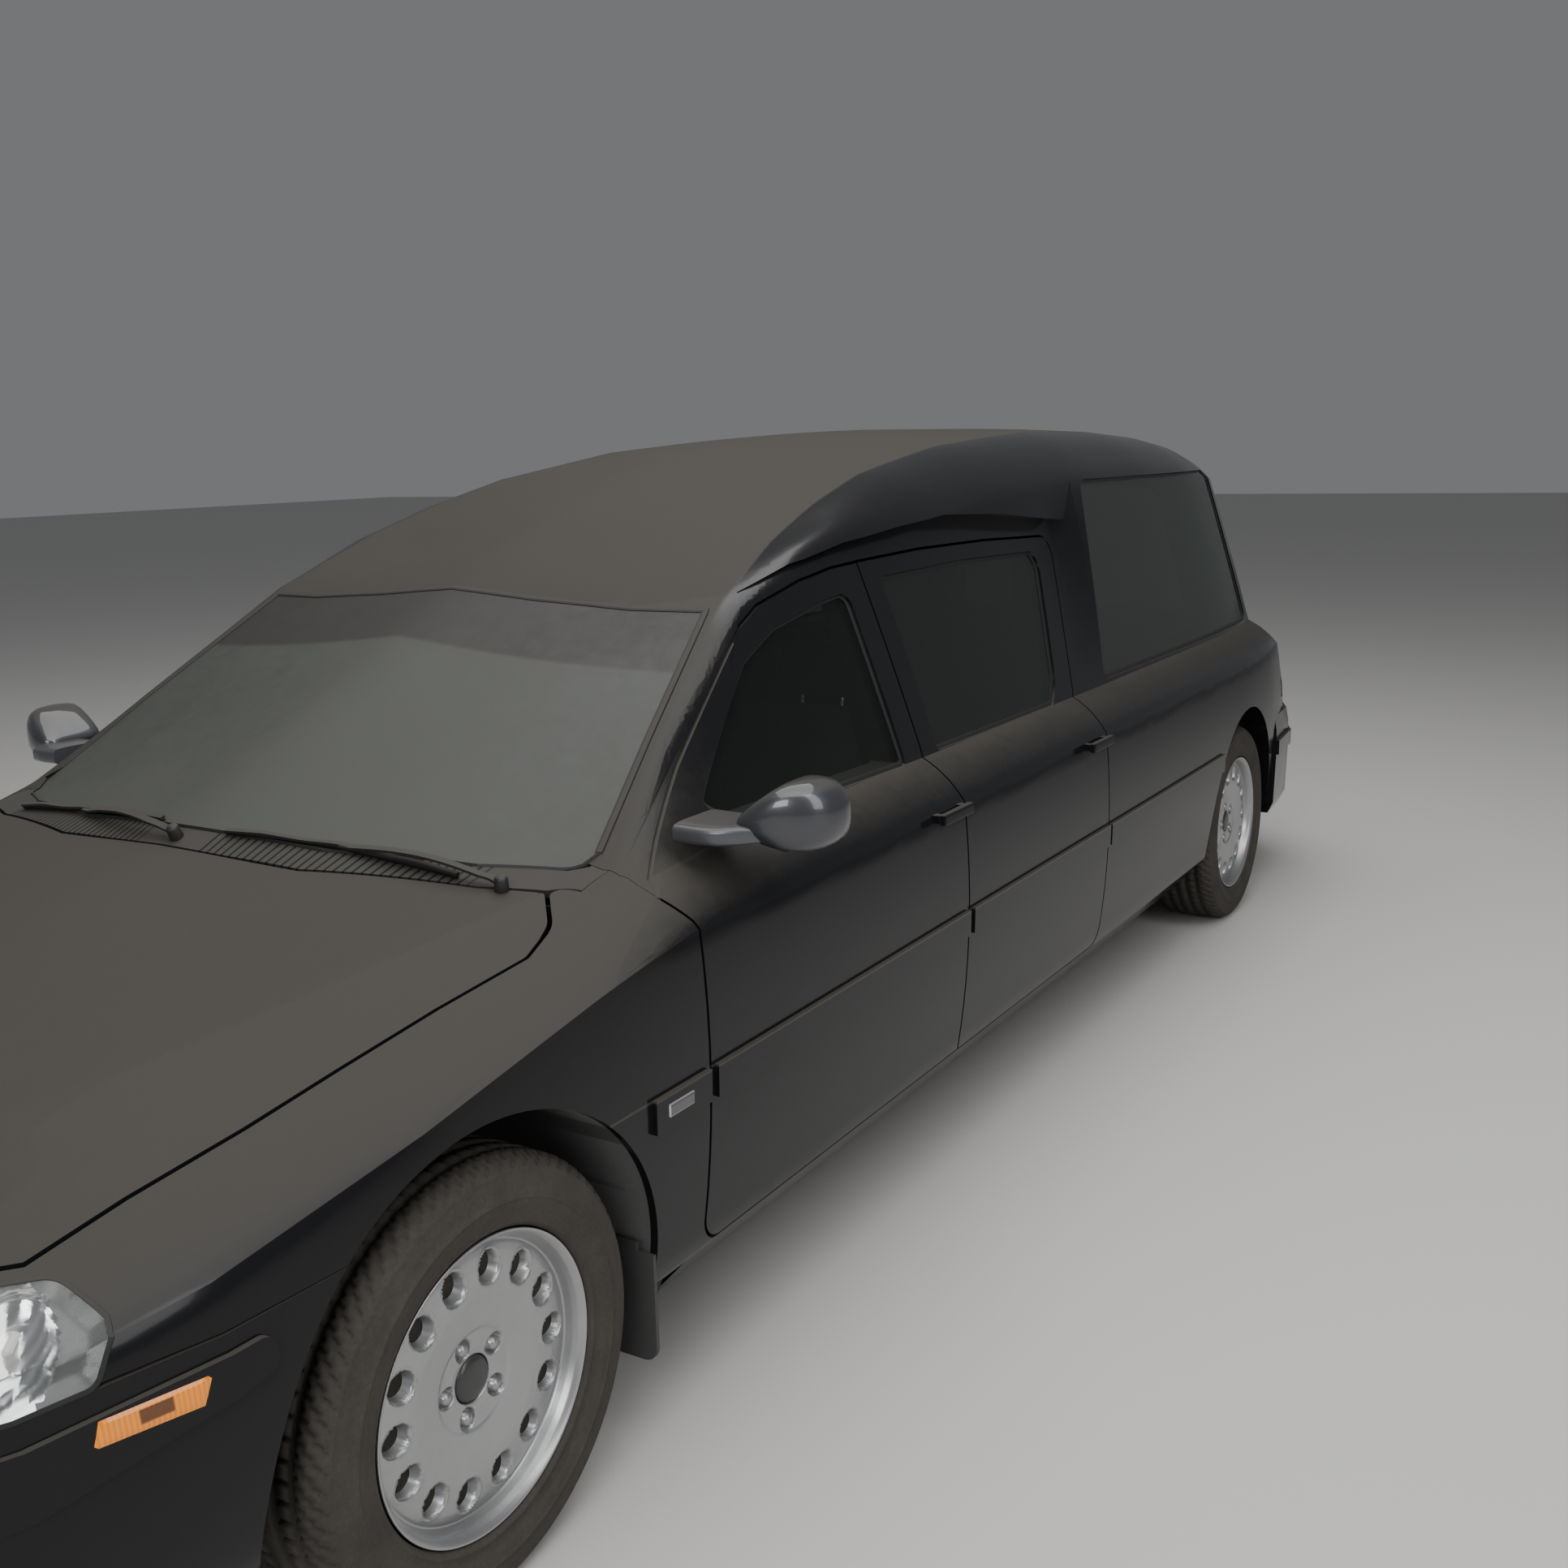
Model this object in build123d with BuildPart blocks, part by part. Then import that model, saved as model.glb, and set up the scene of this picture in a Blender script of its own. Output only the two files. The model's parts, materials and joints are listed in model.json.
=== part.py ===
from build123d import *
from math import cos, radians, sin
import os

# Hearse: a stretched saloon body with a tall glazed load space.
# Frame: +X forward, +Y left, +Z up, in millimetres. The origin is on the ground,
# at mid-length and mid-width. Stations in the tables are distances behind the front axle.

os.makedirs("parts", exist_ok=True)

# Driving dimensions
LENGTH = 5770.0
WHEELBASE = 3740.0
FRONT_OVERHANG = 950.0
FRONT_X = LENGTH / 2 - FRONT_OVERHANG
TYRE_RADIUS = 321.5
FRONT_WHEEL_Y = 791.0
REAR_WHEEL_Y = 780.0
ARCH_RADIUS = 385.0
PANEL_GAP = 6.0
SKIN = 14.0
DOOR_DEPTH = 75.0
FRAME_DEPTH = 42.0
WALL_DEPTH = 120.0
PILLAR_DEPTH = 72.0
DOOR_CLEAR = 10.0
FLANGE = 20.0
GLASS = 6.0
WIDE = 1100.0

# Body sections: station, lean of the section in degrees, how far the door frames stand inside
# the roof's side at the drip line, then half-width and height of the floor edge, the turn
# under, the widest line, the shoulder, the belt, the drip line and the ridge, and the height
# on the centre line. The ridge is the bonnet's crease, then the windscreen pillar, then the
# edge of the roof.
BODY = [
    (-950, 0, 0, 330, 265, 450, 330, 462, 450, 452, 530, 420, 562, 340, 568, 240, 572, 576),
    (-925, 0, 0, 430, 245, 550, 312, 570, 465, 550, 565, 500, 592, 400, 598, 290, 602, 606),
    (-890, 0, 0, 490, 232, 610, 303, 636, 472, 612, 605, 545, 648, 440, 680, 320, 704, 716),
    (-800, 0, 0, 600, 210, 705, 290, 737, 480, 714, 620, 622, 676, 500, 704, 350, 722, 742),
    (-640, 0, 0, 690, 192, 795, 285, 828, 500, 806, 640, 680, 712, 540, 744, 395, 760, 784),
    (-420, 0, 0, 745, 180, 850, 285, 885, 530, 864, 675, 712, 752, 580, 787, 450, 805, 834),
    (-100, 0, 0, 770, 175, 875, 290, 906, 570, 890, 732, 738, 800, 640, 830, 540, 845, 884),
    (250, 0, 0, 780, 172, 886, 290, 914, 590, 900, 800, 752, 852, 700, 874, 640, 888, 944),
    (495, 0, 0, 782, 172, 888, 290, 916, 600, 904, 836, 800, 902, 768, 911, 737, 916, 1066),
    (750, 0, 0, 782, 172, 888, 290, 916, 600, 905, 838, 806, 924, 706, 1050, 672, 1084, 1190),
    (1090, 0, 8, 782, 172, 888, 290, 916, 600, 905, 840, 808, 926, 645, 1252, 592, 1292, 1352),
    (1330, 0, 26, 782, 172, 888, 290, 916, 600, 905, 841, 808, 928, 664, 1334, 550, 1390, 1446),
    (1540, 0, 40, 782, 172, 888, 290, 916, 600, 905, 842, 808, 928, 678, 1376, 526, 1454, 1508),
    (1790, 0, 54, 782, 172, 888, 290, 916, 600, 905, 843, 808, 929, 689, 1410, 508, 1512, 1560),
    (2220, 0, 66, 782, 172, 888, 290, 916, 600, 905, 845, 808, 930, 696, 1442, 500, 1568, 1600),
    (2560, 0, 66, 782, 172, 888, 290, 916, 600, 904, 847, 807, 931, 694, 1462, 500, 1588, 1611),
    (2660, 0, 0, 782, 172, 888, 290, 916, 600, 904, 847, 807, 931, 692, 1468, 500, 1592, 1613),
    (2790, 0, 0, 782, 172, 888, 290, 916, 600, 904, 848, 806, 932, 690, 1474, 500, 1598, 1617),
    (3300, 0, 0, 782, 174, 886, 290, 914, 600, 902, 850, 802, 934, 688, 1474, 500, 1596, 1617),
    (3750, 4, 0, 780, 180, 880, 292, 908, 600, 896, 852, 794, 934, 680, 1462, 496, 1576, 1600),
    (4050, 10, 0, 762, 188, 864, 296, 892, 600, 880, 852, 778, 934, 664, 1446, 486, 1556, 1582),
    (4290, 16, 0, 730, 198, 832, 304, 858, 600, 846, 852, 748, 932, 636, 1430, 462, 1534, 1562),
    (4440, 18, 0, 670, 262, 768, 330, 792, 600, 780, 850, 690, 926, 590, 1414, 430, 1512, 1538),
    (4530, 18, 0, 560, 300, 650, 350, 668, 600, 656, 846, 576, 916, 500, 1400, 370, 1494, 1516),
]
LEAN_HEIGHT = 900.0
MOST_BOW = 0.1
SHOULDER_BOW = 8.0
WINDOW_BOW = 3.0
CREASE_BOW = 6.0
ROOF_SIDE_BOW = 20.0
TOP_BOW = 4.0
ROOF_START = 900.0

# Side outlines: station, height and, where a corner is round, its radius
FRONT_DOOR = [(524, 292, 50), (524, 850), (505, 884), (560, 918), (700, 1008), (1060, 1236, 90),
              (1150, 1276), (1300, 1312), (1420, 1328), (1517, 1333), (1517, 292)]
REAR_DOOR = [(1523, 292), (1523, 1334), (1800, 1342), (2150, 1340), (2546, 1328, 40),
             (2398, 940), (2380, 850), (2380, 292, 50)]
FRONT_WINDOW = [(742, 980, 14), (800, 935, 30), (1440, 926, 14), (1448, 1282, 30), (1340, 1270),
                (1170, 1236), (1040, 1184, 60)]
REAR_WINDOW = [(1592, 930, 14), (2262, 930, 20), (2318, 990, 60), (2432, 1270, 40), (2400, 1300, 20),
               (2000, 1308), (1594, 1300, 20)]
LOAD_WINDOW = [(2640, 943, 26), (4222, 943, 30), (4076, 1464, 60), (2728, 1470, 45)]
DOOR_APERTURE_IN = 38.0
DOOR_SWING_RELIEF = (530, 640, 680, 722, 868, 922)
ROOF_EDGE = [(1000, 1240), (1133, 1305), (1285, 1348), (1466, 1380), (1680, 1402), (1880, 1417),
             (2160, 1406), (2440, 1381), (2556, 1372)]
ROOF_SEAM = ROOF_EDGE + [(2660, 1474), (2720, 1488), (4060, 1480), (4600, 1400)]
FRAME_RECESS = [(1000, 1190)] + ROOF_EDGE[1:] + [(2660, 1474), (2660, 860), (1000, 860)]
RUB_STRIP_LOW = 555.0
RUB_STRIP_HIGH = 610.0
RUB_STRIP_PROUD = 9.0

# Plan outlines: station, half-width and, where a corner is round, its radius
BONNET = [(-884, 0), (-880, 150), (-850, 330), (-760, 500), (-640, 645), (-545, 716), (-255, 741),
          (77, 757), (255, 773, 30), (330, 755, 40), (392, 700, 20), (345, 600), (258, 300), (232, 0)]
BONNET_GAP_EDGE = [(-640, 653), (-548, 722), (-255, 747), (77, 763), (255, 779, 30), (335, 761, 40),
                   (400, 703, 20)]
SCREEN = [(286, 0), (316, 300), (398, 560), (470, 690, 40), (525, 712), (1062, 580), (1030, 420),
          (1010, 200), (1004, 0)]
COWL = [(238, 0), (264, 300), (351, 600), (404, 706), (430, 745), (499, 745), (499, 713), (466, 690),
        (398, 560), (316, 300), (286, 0)]

# Tail outlines: half-width, height and, where a corner is round, its radius
TAILGATE = [(560, 640, 30), (560, 900), (452, 1398, 60), (330, 1470, 60)]
TAIL_WINDOW = [(470, 930, 30), (392, 1370, 50), (330, 1410, 30)]


def at(station, height):
    return (FRONT_X - station, height)


def rounded(points):
    radii = [point[2] if len(point) > 2 else 0 for point in points]
    if any(radii):
        FilletPolyline(*[point[:2] for point in points], radius=radii, close=True)
    else:
        Polyline(*points, close=True)


def from_stations(points):
    return [(FRONT_X - point[0], *point[1:]) for point in points]


def side_prism(points, y_low, y_high, mode=Mode.ADD, grow=0):
    with BuildSketch(Plane.XZ.offset(-y_high)) as outline:
        with BuildLine():
            rounded(from_stations(points))
        make_face()
        if grow:
            offset(amount=grow, kind=Kind.INTERSECTION)
    extrude(outline.sketch, amount=y_high - y_low, mode=mode)


def plan_prism(points, z_low, z_high, mode=Mode.ADD):
    with BuildSketch(Plane.XY.offset(z_low)) as outline:
        with BuildLine():
            rounded(from_stations(points))
        make_face()
    extrude(outline.sketch, amount=z_high - z_low, mode=mode)


def both_halves(points):
    other = [(s, -y, *radius) for s, y, *radius in reversed(points) if y > 0]
    return points + other


def plan_both(points, z_low, z_high, mode=Mode.ADD):
    plan_prism(both_halves(points), z_low, z_high, mode)


def cross_prism(points, s_low, s_high, mode=Mode.ADD, grow=0):
    with BuildSketch(Plane.YZ.offset(FRONT_X - s_high)) as outline:
        with BuildLine():
            rounded(points)
        make_face()
        if grow:
            offset(amount=grow, kind=Kind.INTERSECTION)
    extrude(outline.sketch, amount=s_high - s_low, mode=mode)


def rear_prism(half, s_low, s_high, mode=Mode.ADD, grow=0):
    other = [(-y, z, *radius) for y, z, *radius in reversed(half)]
    cross_prism(half + other, s_low, s_high, mode, grow)


def box_at(s0, s1, y0, y1, z0, z1, mode=Mode.ADD):
    side_prism([(s0, z0), (s1, z0), (s1, z1), (s0, z1)], y0, y1, mode)


def disc(station, z, radius, y_low, y_high, mode=Mode.ADD):
    with BuildSketch(Plane.XZ.offset(-y_high)) as outline:
        with Locations(at(station, z)):
            Circle(radius)
    extrude(outline.sketch, amount=y_high - y_low, mode=mode)


def bowed(p, q, out):
    dy, dz = q[0] - p[0], q[1] - p[1]
    size = (dy * dy + dz * dz) ** 0.5
    out = min(out, size * MOST_BOW)
    middle = ((p[0] + q[0]) / 2 + out * dz / size, (p[1] + q[1]) / 2 - out * dy / size)
    ThreePointArc(p, middle, q)


def body_section(row, station, side_in, frame_in, top_in, drop, tucked):
    lean, tuck, y1, z1, y2, z2, y3, z3, y4, z4, y5, z5, y6, z6, y7, z7, z8 = row
    slope = 1 / cos(radians(lean))
    ridge_z = z7 - top_in
    inset = frame_in + tuck if tucked else frame_in
    drip = (min(y6 - inset, y5 - side_in - 2), min(z6 - top_in / 2, ridge_z - 3))
    belt = (y5 - side_in, min(z5 - top_in / 2, drip[1] - 3))
    ridge = (min(y7 - frame_in / 2, drip[0] - 5), ridge_z)
    low = [(y1 - side_in, z1 - drop), (y2 - side_in, z2), (y3 - side_in, z3), (y4 - side_in, z4)]
    high = [belt, drip, ridge, (0, z8 - top_in)]
    p = [(y, (z - LEAN_HEIGHT) * slope) for y, z in low + high]
    plane = Plane(
        origin=(FRONT_X - station, 0, LEAN_HEIGHT),
        x_dir=(0, 1, 0),
        z_dir=(cos(radians(lean)), 0, -sin(radians(lean))),
    )
    with BuildSketch(plane) as section:
        with BuildLine() as outline:
            Line((0, p[0][1]), p[0])
            Line(p[0], p[1])
            ThreePointArc(p[1], p[2], p[3])
            bowed(p[3], p[4], SHOULDER_BOW)
            bowed(p[4], p[5], WINDOW_BOW)
            bowed(p[5], p[6], ROOF_SIDE_BOW if station > ROOF_START else CREASE_BOW)
            bowed(p[6], p[7], TOP_BOW)
            mirror(outline.line, about=Plane.YZ)
        make_face()
    return section.sketch


def body_loft(side_in=0, frame_in=0, top_in=0, end_in=0, drop=0, first=0, tucked=False):
    rows = BODY[first:]
    sections = []
    for i, (station, *row) in enumerate(rows):
        if i == 0:
            station += end_in
        if i == len(rows) - 1:
            station -= end_in
        sections.append(body_section(row, station, side_in, frame_in, top_in, drop, tucked))
    with BuildPart() as body:
        loft(sections, ruled=True)
    return body.part


def write(piece, name):
    piece.part.label = name
    export_step(piece.part, "parts/" + name + ".step")


def mirrored(piece, name):
    with BuildPart() as other:
        mirror(piece.part, about=Plane.XZ)
    write(other, name)
    return other


def shell_in(depth, **others):
    return body_loft(side_in=depth, frame_in=depth, top_in=depth, end_in=depth, drop=200, **others)


# The body's outer form, and the same form set in by the thickness of what hangs on it.
# The tucked forms follow the door frames, which stand inside the roof's side.
outer = body_loft()
proud = body_loft(side_in=-RUB_STRIP_PROUD, frame_in=-RUB_STRIP_PROUD, top_in=-RUB_STRIP_PROUD)
flush_in = shell_in(GLASS)
skin_in = shell_in(SKIN)
frame_out = body_loft(side_in=-2, frame_in=-2, drop=200, tucked=True)
frame_flush_in = shell_in(GLASS, tucked=True)
frame_skin_in = shell_in(SKIN, tucked=True)
door_in = body_loft(side_in=DOOR_DEPTH, frame_in=FRAME_DEPTH, top_in=FRAME_DEPTH, end_in=60, drop=200,
                    first=6, tucked=True)
gap_in = body_loft(side_in=DOOR_DEPTH + DOOR_CLEAR, frame_in=FRAME_DEPTH + DOOR_CLEAR,
                   top_in=FRAME_DEPTH + DOOR_CLEAR, end_in=60 + DOOR_CLEAR, drop=200, first=6, tucked=True)
wall_in = body_loft(side_in=WALL_DEPTH, frame_in=PILLAR_DEPTH, top_in=60, end_in=80, drop=200, first=6,
                    tucked=True)

# Recess between the roof's side and the door frames
with BuildPart() as frame_recess:
    add(outer)
    side_prism(FRAME_RECESS, 300, WIDE, Mode.INTERSECT)
    add(frame_out, mode=Mode.SUBTRACT)


def rub_strip(s_low, s_high):
    with BuildPart() as strip:
        add(proud)
        box_at(s_low, s_high, 300, WIDE, RUB_STRIP_LOW, RUB_STRIP_HIGH, Mode.INTERSECT)
        add(flush_in, mode=Mode.SUBTRACT)
    return strip.part


# Bonnet: one pressed skin, hinged at its rear corners
with BuildPart() as bonnet:
    add(outer)
    plan_both(BONNET, 600, 1000, Mode.INTERSECT)
    add(skin_in, mode=Mode.SUBTRACT)
write(bonnet, "bonnet")

# Front bumper: wraps from one front arch to the other, bored for the number plate and
# for the towing eye behind it
PLATE_BOLTS = 280.0
PLATE_BOLT_R = 3.0
FRONT_PLATE_Z = 400.0
TOW_Y = 330.0
TOW_Z = 470.0
TOW_BORE_R = 8.0
BUMPER_TOP = [(-1000, 586), (-905, 600), (-500, 612), (-240, 618)]
BUMPER_BAND = [(-1000, 455), (-800, 478), (-650, 500), (-402, 543), (-360, 552, 18), (-364, 594, 18),
               (-430, 592), (-650, 579), (-800, 566), (-1000, 540)]
INTAKE_HALF = 300.0
INTAKE_SLOTS = (300, 328, 356)
INTAKE_SLOT_HEIGHT = 18.0
with BuildPart() as bumper_band:
    add(proud)
    side_prism(BUMPER_BAND, -WIDE, WIDE, Mode.INTERSECT)
    add(flush_in, mode=Mode.SUBTRACT)
with BuildPart() as front_bumper:
    add(outer)
    side_prism([(-240, 150), (-1000, 150)] + BUMPER_TOP, -WIDE, WIDE, Mode.INTERSECT)
    add(skin_in, mode=Mode.SUBTRACT)
    add(bumper_band.part)
    for z in INTAKE_SLOTS:
        box_at(-1000, -850, -INTAKE_HALF, INTAKE_HALF, z, z + INTAKE_SLOT_HEIGHT, Mode.SUBTRACT)
    disc(0, TYRE_RADIUS, ARCH_RADIUS, -WIDE, WIDE, Mode.SUBTRACT)
    for y in (-PLATE_BOLTS / 2, PLATE_BOLTS / 2):
        with Locations(Plane(origin=(LENGTH / 2, y, FRONT_PLATE_Z), z_dir=(1, 0, 0))):
            Cylinder(PLATE_BOLT_R, 60, mode=Mode.SUBTRACT)
    with Locations(Plane(origin=(LENGTH / 2, TOW_Y, TOW_Z), z_dir=(1, 0, 0))):
        Cylinder(22, 60, mode=Mode.SUBTRACT)
write(front_bumper, "front_bumper")

# Headlamps: wrap round the corners between the bumper and the bonnet
LAMP_PLAN = [(-908, 325), (-856, 337), (-766, 508), (-646, 654), (-590, 712, 30), (-533, 752, 40),
             (-518, 840), (-560, 900), (-1000, 900)]
LAMP_SIDE = [(-1000, 1000), (-480, 1000), (-512, 690, 20), (-556, 612, 20), (-905, 601), (-1000, 587)]
with BuildPart() as headlamp_left:
    add(outer)
    side_prism(LAMP_SIDE, 0, WIDE, Mode.INTERSECT)
    plan_prism(LAMP_PLAN, 500, 1000, Mode.INTERSECT)
    add(skin_in, mode=Mode.SUBTRACT)
with BuildPart() as headlamps:
    add(headlamp_left.part)
    mirror(headlamp_left.part, about=Plane.XZ)
write(headlamps, "headlamps")

# Grille: a framed panel between the lamps, pierced by two rows of upright slots
GRILLE_HALF = 318.0
GRILLE_SLOT = (15.0, 34.0)
GRILLE_PITCH = 23.0
GRILLE_COLUMNS = 24
GRILLE_ROWS = (636, 676)
with BuildPart() as grille:
    add(outer)
    side_prism([(-1000, 1000), (-890, 1000), (-890, 602), (-905, 602), (-1000, 588)],
               -GRILLE_HALF, GRILLE_HALF, Mode.INTERSECT)
    add(skin_in, mode=Mode.SUBTRACT)
    with BuildSketch(Plane.YZ.offset(FRONT_X + 860)) as slots:
        for z in GRILLE_ROWS:
            with Locations((0, z)):
                with GridLocations(GRILLE_PITCH, GRILLE_PITCH, GRILLE_COLUMNS, 1):
                    Rectangle(*GRILLE_SLOT)
    extrude(slots.sketch, amount=120, mode=Mode.SUBTRACT)
write(grille, "grille")

# Front wings: between the bonnet, the lamps, the arch, the door and the windscreen pillar
WING_PLAN = BONNET_GAP_EDGE + [(426, 746), (500, 746), (500, WIDE), (-640, WIDE)]
WING_SIDE = [(-650, 614), (-240, 620), (-240, 150), (518, 150), (518, 852), (499, 885), (499, 1000),
             (-650, 1000)]
with BuildPart() as front_wing_left:
    add(outer)
    plan_prism(WING_PLAN, 150, 1000, Mode.INTERSECT)
    side_prism(WING_SIDE, 0, WIDE, Mode.INTERSECT)
    add(skin_in, mode=Mode.SUBTRACT)
    add(rub_strip(360, 500))
    add(headlamp_left.part, mode=Mode.SUBTRACT)
    disc(0, TYRE_RADIUS, ARCH_RADIUS, 0, WIDE, Mode.SUBTRACT)
    box_at(0, ARCH_RADIUS, 0, WIDE, 0, TYRE_RADIUS, Mode.SUBTRACT)
write(front_wing_left, "front_wing_left")
front_wing_right = mirrored(front_wing_left, "front_wing_right")

# Doors: a hollow-section leaf with its window frame, hinged at the front edge. The outer
# skin laps the inner section at the rear edge, so that the leaf swings clear of the pillar.
DOORS = (
    # name, outline, window, lap behind the rear edge, ends of the rub strip, front of the handle
    ("front", FRONT_DOOR, FRONT_WINDOW,
     [(1517 - FLANGE, 0), (1700, 0), (1700, 1600), (1517 - FLANGE, 1600)], (532, 1511), 1362),
    ("rear", REAR_DOOR, REAR_WINDOW,
     [(2380 - FLANGE, 0), (2700, 0), (2700, 1600), (2440, 1600), (2440, 1345), (2499, 1255),
      (2398 - FLANGE, 940), (2380 - FLANGE, 850)], (1531, 2374), 2218),
)
HANDLE_LONG = 140.0
HANDLE_HIGH = 24.0
HANDLE_Z = 836.0
HANDLE_Y = (919.0, 937.0)
HANDLE_POST = 20.0
HANDLE_ROOT_Y = 894.0
for name, shape, window, lap, strip_ends, handle_start in DOORS:
    with BuildPart() as lap_room:
        add(frame_skin_in)
        side_prism(lap, 300, WIDE, Mode.INTERSECT)
    with BuildPart() as grip:
        box_at(handle_start, handle_start + HANDLE_LONG, *HANDLE_Y, HANDLE_Z - HANDLE_HIGH / 2,
               HANDLE_Z + HANDLE_HIGH / 2)
        fillet(grip.edges(), radius=6)
        for post_start in (handle_start + 4, handle_start + HANDLE_LONG - HANDLE_POST - 4):
            box_at(post_start, post_start + HANDLE_POST, HANDLE_ROOT_Y, HANDLE_Y[0] + 5,
                   HANDLE_Z - HANDLE_HIGH / 3, HANDLE_Z + HANDLE_HIGH / 3)
    with BuildPart() as door:
        add(outer)
        side_prism(shape, 300, WIDE, Mode.INTERSECT)
        add(frame_recess.part, mode=Mode.SUBTRACT)
        add(door_in, mode=Mode.SUBTRACT)
        add(lap_room.part, mode=Mode.SUBTRACT)
        side_prism(window, 300, WIDE, Mode.SUBTRACT)
        add(rub_strip(*strip_ends))
        add(grip.part)
    write(door, "door_" + name + "_left")
    mirrored(door, "door_" + name + "_right")
    with BuildPart() as pane:
        add(frame_flush_in)
        side_prism(window, 300, WIDE, Mode.INTERSECT)
        add(frame_skin_in, mode=Mode.SUBTRACT)
    write(pane, "door_glass_" + name + "_left")
    mirrored(pane, "door_glass_" + name + "_right")

# Body sides: windscreen pillar, sill, centre pillar and the long rear quarter, with a rebate
# round each door opening
TAIL_LAMP = [(4350, 655), (4760, 655), (4760, 900), (4330, 900)]
with BuildPart() as leaves:
    side_prism(FRONT_DOOR, 300, WIDE, grow=PANEL_GAP)
    side_prism(REAR_DOOR, 300, WIDE, grow=PANEL_GAP)
with BuildPart() as side_rebates:
    add(outer)
    add(leaves.part, mode=Mode.INTERSECT)
    add(gap_in, mode=Mode.SUBTRACT)
with BuildPart() as tail_lamp_left:
    add(outer)
    side_prism(TAIL_LAMP, 300, WIDE, Mode.INTERSECT)
    rear_prism(TAILGATE, 4100, 4900, Mode.SUBTRACT, grow=14)
    add(door_in, mode=Mode.SUBTRACT)
with BuildPart() as body_side_left:
    add(outer)
    side_prism([(500, 150), (4900, 150), (4900, 1400)] + ROOF_SEAM[::-1] + [(500, 1276)],
               20, WIDE, Mode.INTERSECT)
    add(wall_in, mode=Mode.SUBTRACT)
    plan_both(SCREEN, 700, 1700, Mode.SUBTRACT)
    add(frame_recess.part, mode=Mode.SUBTRACT)
    add(side_rebates.part, mode=Mode.SUBTRACT)
    add(rub_strip(500, 512))
    add(rub_strip(2386, 3425))
    side_prism(FRONT_DOOR, 300, WIDE, Mode.SUBTRACT, grow=-DOOR_APERTURE_IN)
    side_prism(REAR_DOOR, 300, WIDE, Mode.SUBTRACT, grow=-DOOR_APERTURE_IN)
    side_prism(LOAD_WINDOW, 300, WIDE, Mode.SUBTRACT)
    disc(WHEELBASE, TYRE_RADIUS, ARCH_RADIUS, 0, WIDE, Mode.SUBTRACT)
    rear_prism(TAILGATE, 4100, 4900, Mode.SUBTRACT, grow=PANEL_GAP)
    add(tail_lamp_left.part, mode=Mode.SUBTRACT)
    box_at(*DOOR_SWING_RELIEF, Mode.SUBTRACT)
write(body_side_left, "body_side_left")
mirrored(body_side_left, "body_side_right")
with BuildPart() as tail_lamps:
    add(tail_lamp_left.part)
    mirror(tail_lamp_left.part, about=Plane.XZ)
write(tail_lamps, "tail_lamps")

# Load windows: one long fixed pane each side
with BuildPart() as load_pane:
    add(flush_in)
    side_prism(LOAD_WINDOW, 300, WIDE, Mode.INTERSECT)
    add(skin_in, mode=Mode.SUBTRACT)
with BuildPart() as load_windows:
    add(load_pane.part)
    mirror(load_pane.part, about=Plane.XZ)
write(load_windows, "load_windows")

# Roof: one raised pressing from the windscreen to the tailgate
with BuildPart() as roof:
    add(outer)
    side_prism(ROOF_SEAM + [(4600, 1800), (1000, 1800)], -WIDE, WIDE, Mode.INTERSECT)
    add(door_in, mode=Mode.SUBTRACT)
    plan_both(SCREEN, 700, 1700, Mode.SUBTRACT)
    rear_prism(TAILGATE, 4100, 4900, Mode.SUBTRACT, grow=PANEL_GAP)
write(roof, "roof")

# Windscreen: one bonded curved pane
with BuildPart() as windscreen:
    add(outer)
    plan_both(SCREEN, 700, 1700, Mode.INTERSECT)
    add(flush_in, mode=Mode.SUBTRACT)
write(windscreen, "windscreen")

# Cowl: the black trough between the bonnet and the windscreen
with BuildPart() as cowl:
    add(outer)
    plan_both(COWL, 700, 1700, Mode.INTERSECT)
    add(skin_in, mode=Mode.SUBTRACT)
write(cowl, "cowl")

# Tailgate: one tall leaf with its window, hinged along the top
with BuildPart() as tailgate:
    add(outer)
    rear_prism(TAILGATE, 4100, 4900, Mode.INTERSECT)
    add(door_in, mode=Mode.SUBTRACT)
    rear_prism(TAIL_WINDOW, 4100, 4900, Mode.SUBTRACT)
write(tailgate, "tailgate")
with BuildPart() as tailgate_glass:
    add(flush_in)
    rear_prism(TAIL_WINDOW, 4100, 4900, Mode.INTERSECT)
    add(skin_in, mode=Mode.SUBTRACT)
write(tailgate_glass, "tailgate_glass")

# Rear bumper: wraps the tail below the tailgate, with a ledge on top and a raised band
BUMPER_OUT = [(4100, 0), (4100, 894), (4175, 892), (4420, 872), (4600, 806), (4722, 656), (4788, 440),
              (4812, 260), (4812, 0)]
BUMPER_IN = [(4000, 0), (4000, 840), (4175, 840), (4410, 828), (4572, 770), (4694, 634), (4758, 424),
             (4780, 256), (4780, 0)]
BUMPER_LEVELS = ((262, -24), (300, -6), (468, -1), (560, -3), (606, -12))
BUMPER_LEDGE = 588.0
REAR_BAND = (474, 524)
REAR_BAND_PROUD = 8.0
REAR_PLATE_Z = 420.0


def bumper_outline(z, grow):
    with BuildSketch(Plane.XY.offset(z)) as outline:
        with BuildLine():
            rounded(from_stations(both_halves(BUMPER_OUT)))
        make_face()
        offset(amount=grow, kind=Kind.INTERSECTION)
    return outline.sketch


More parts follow.
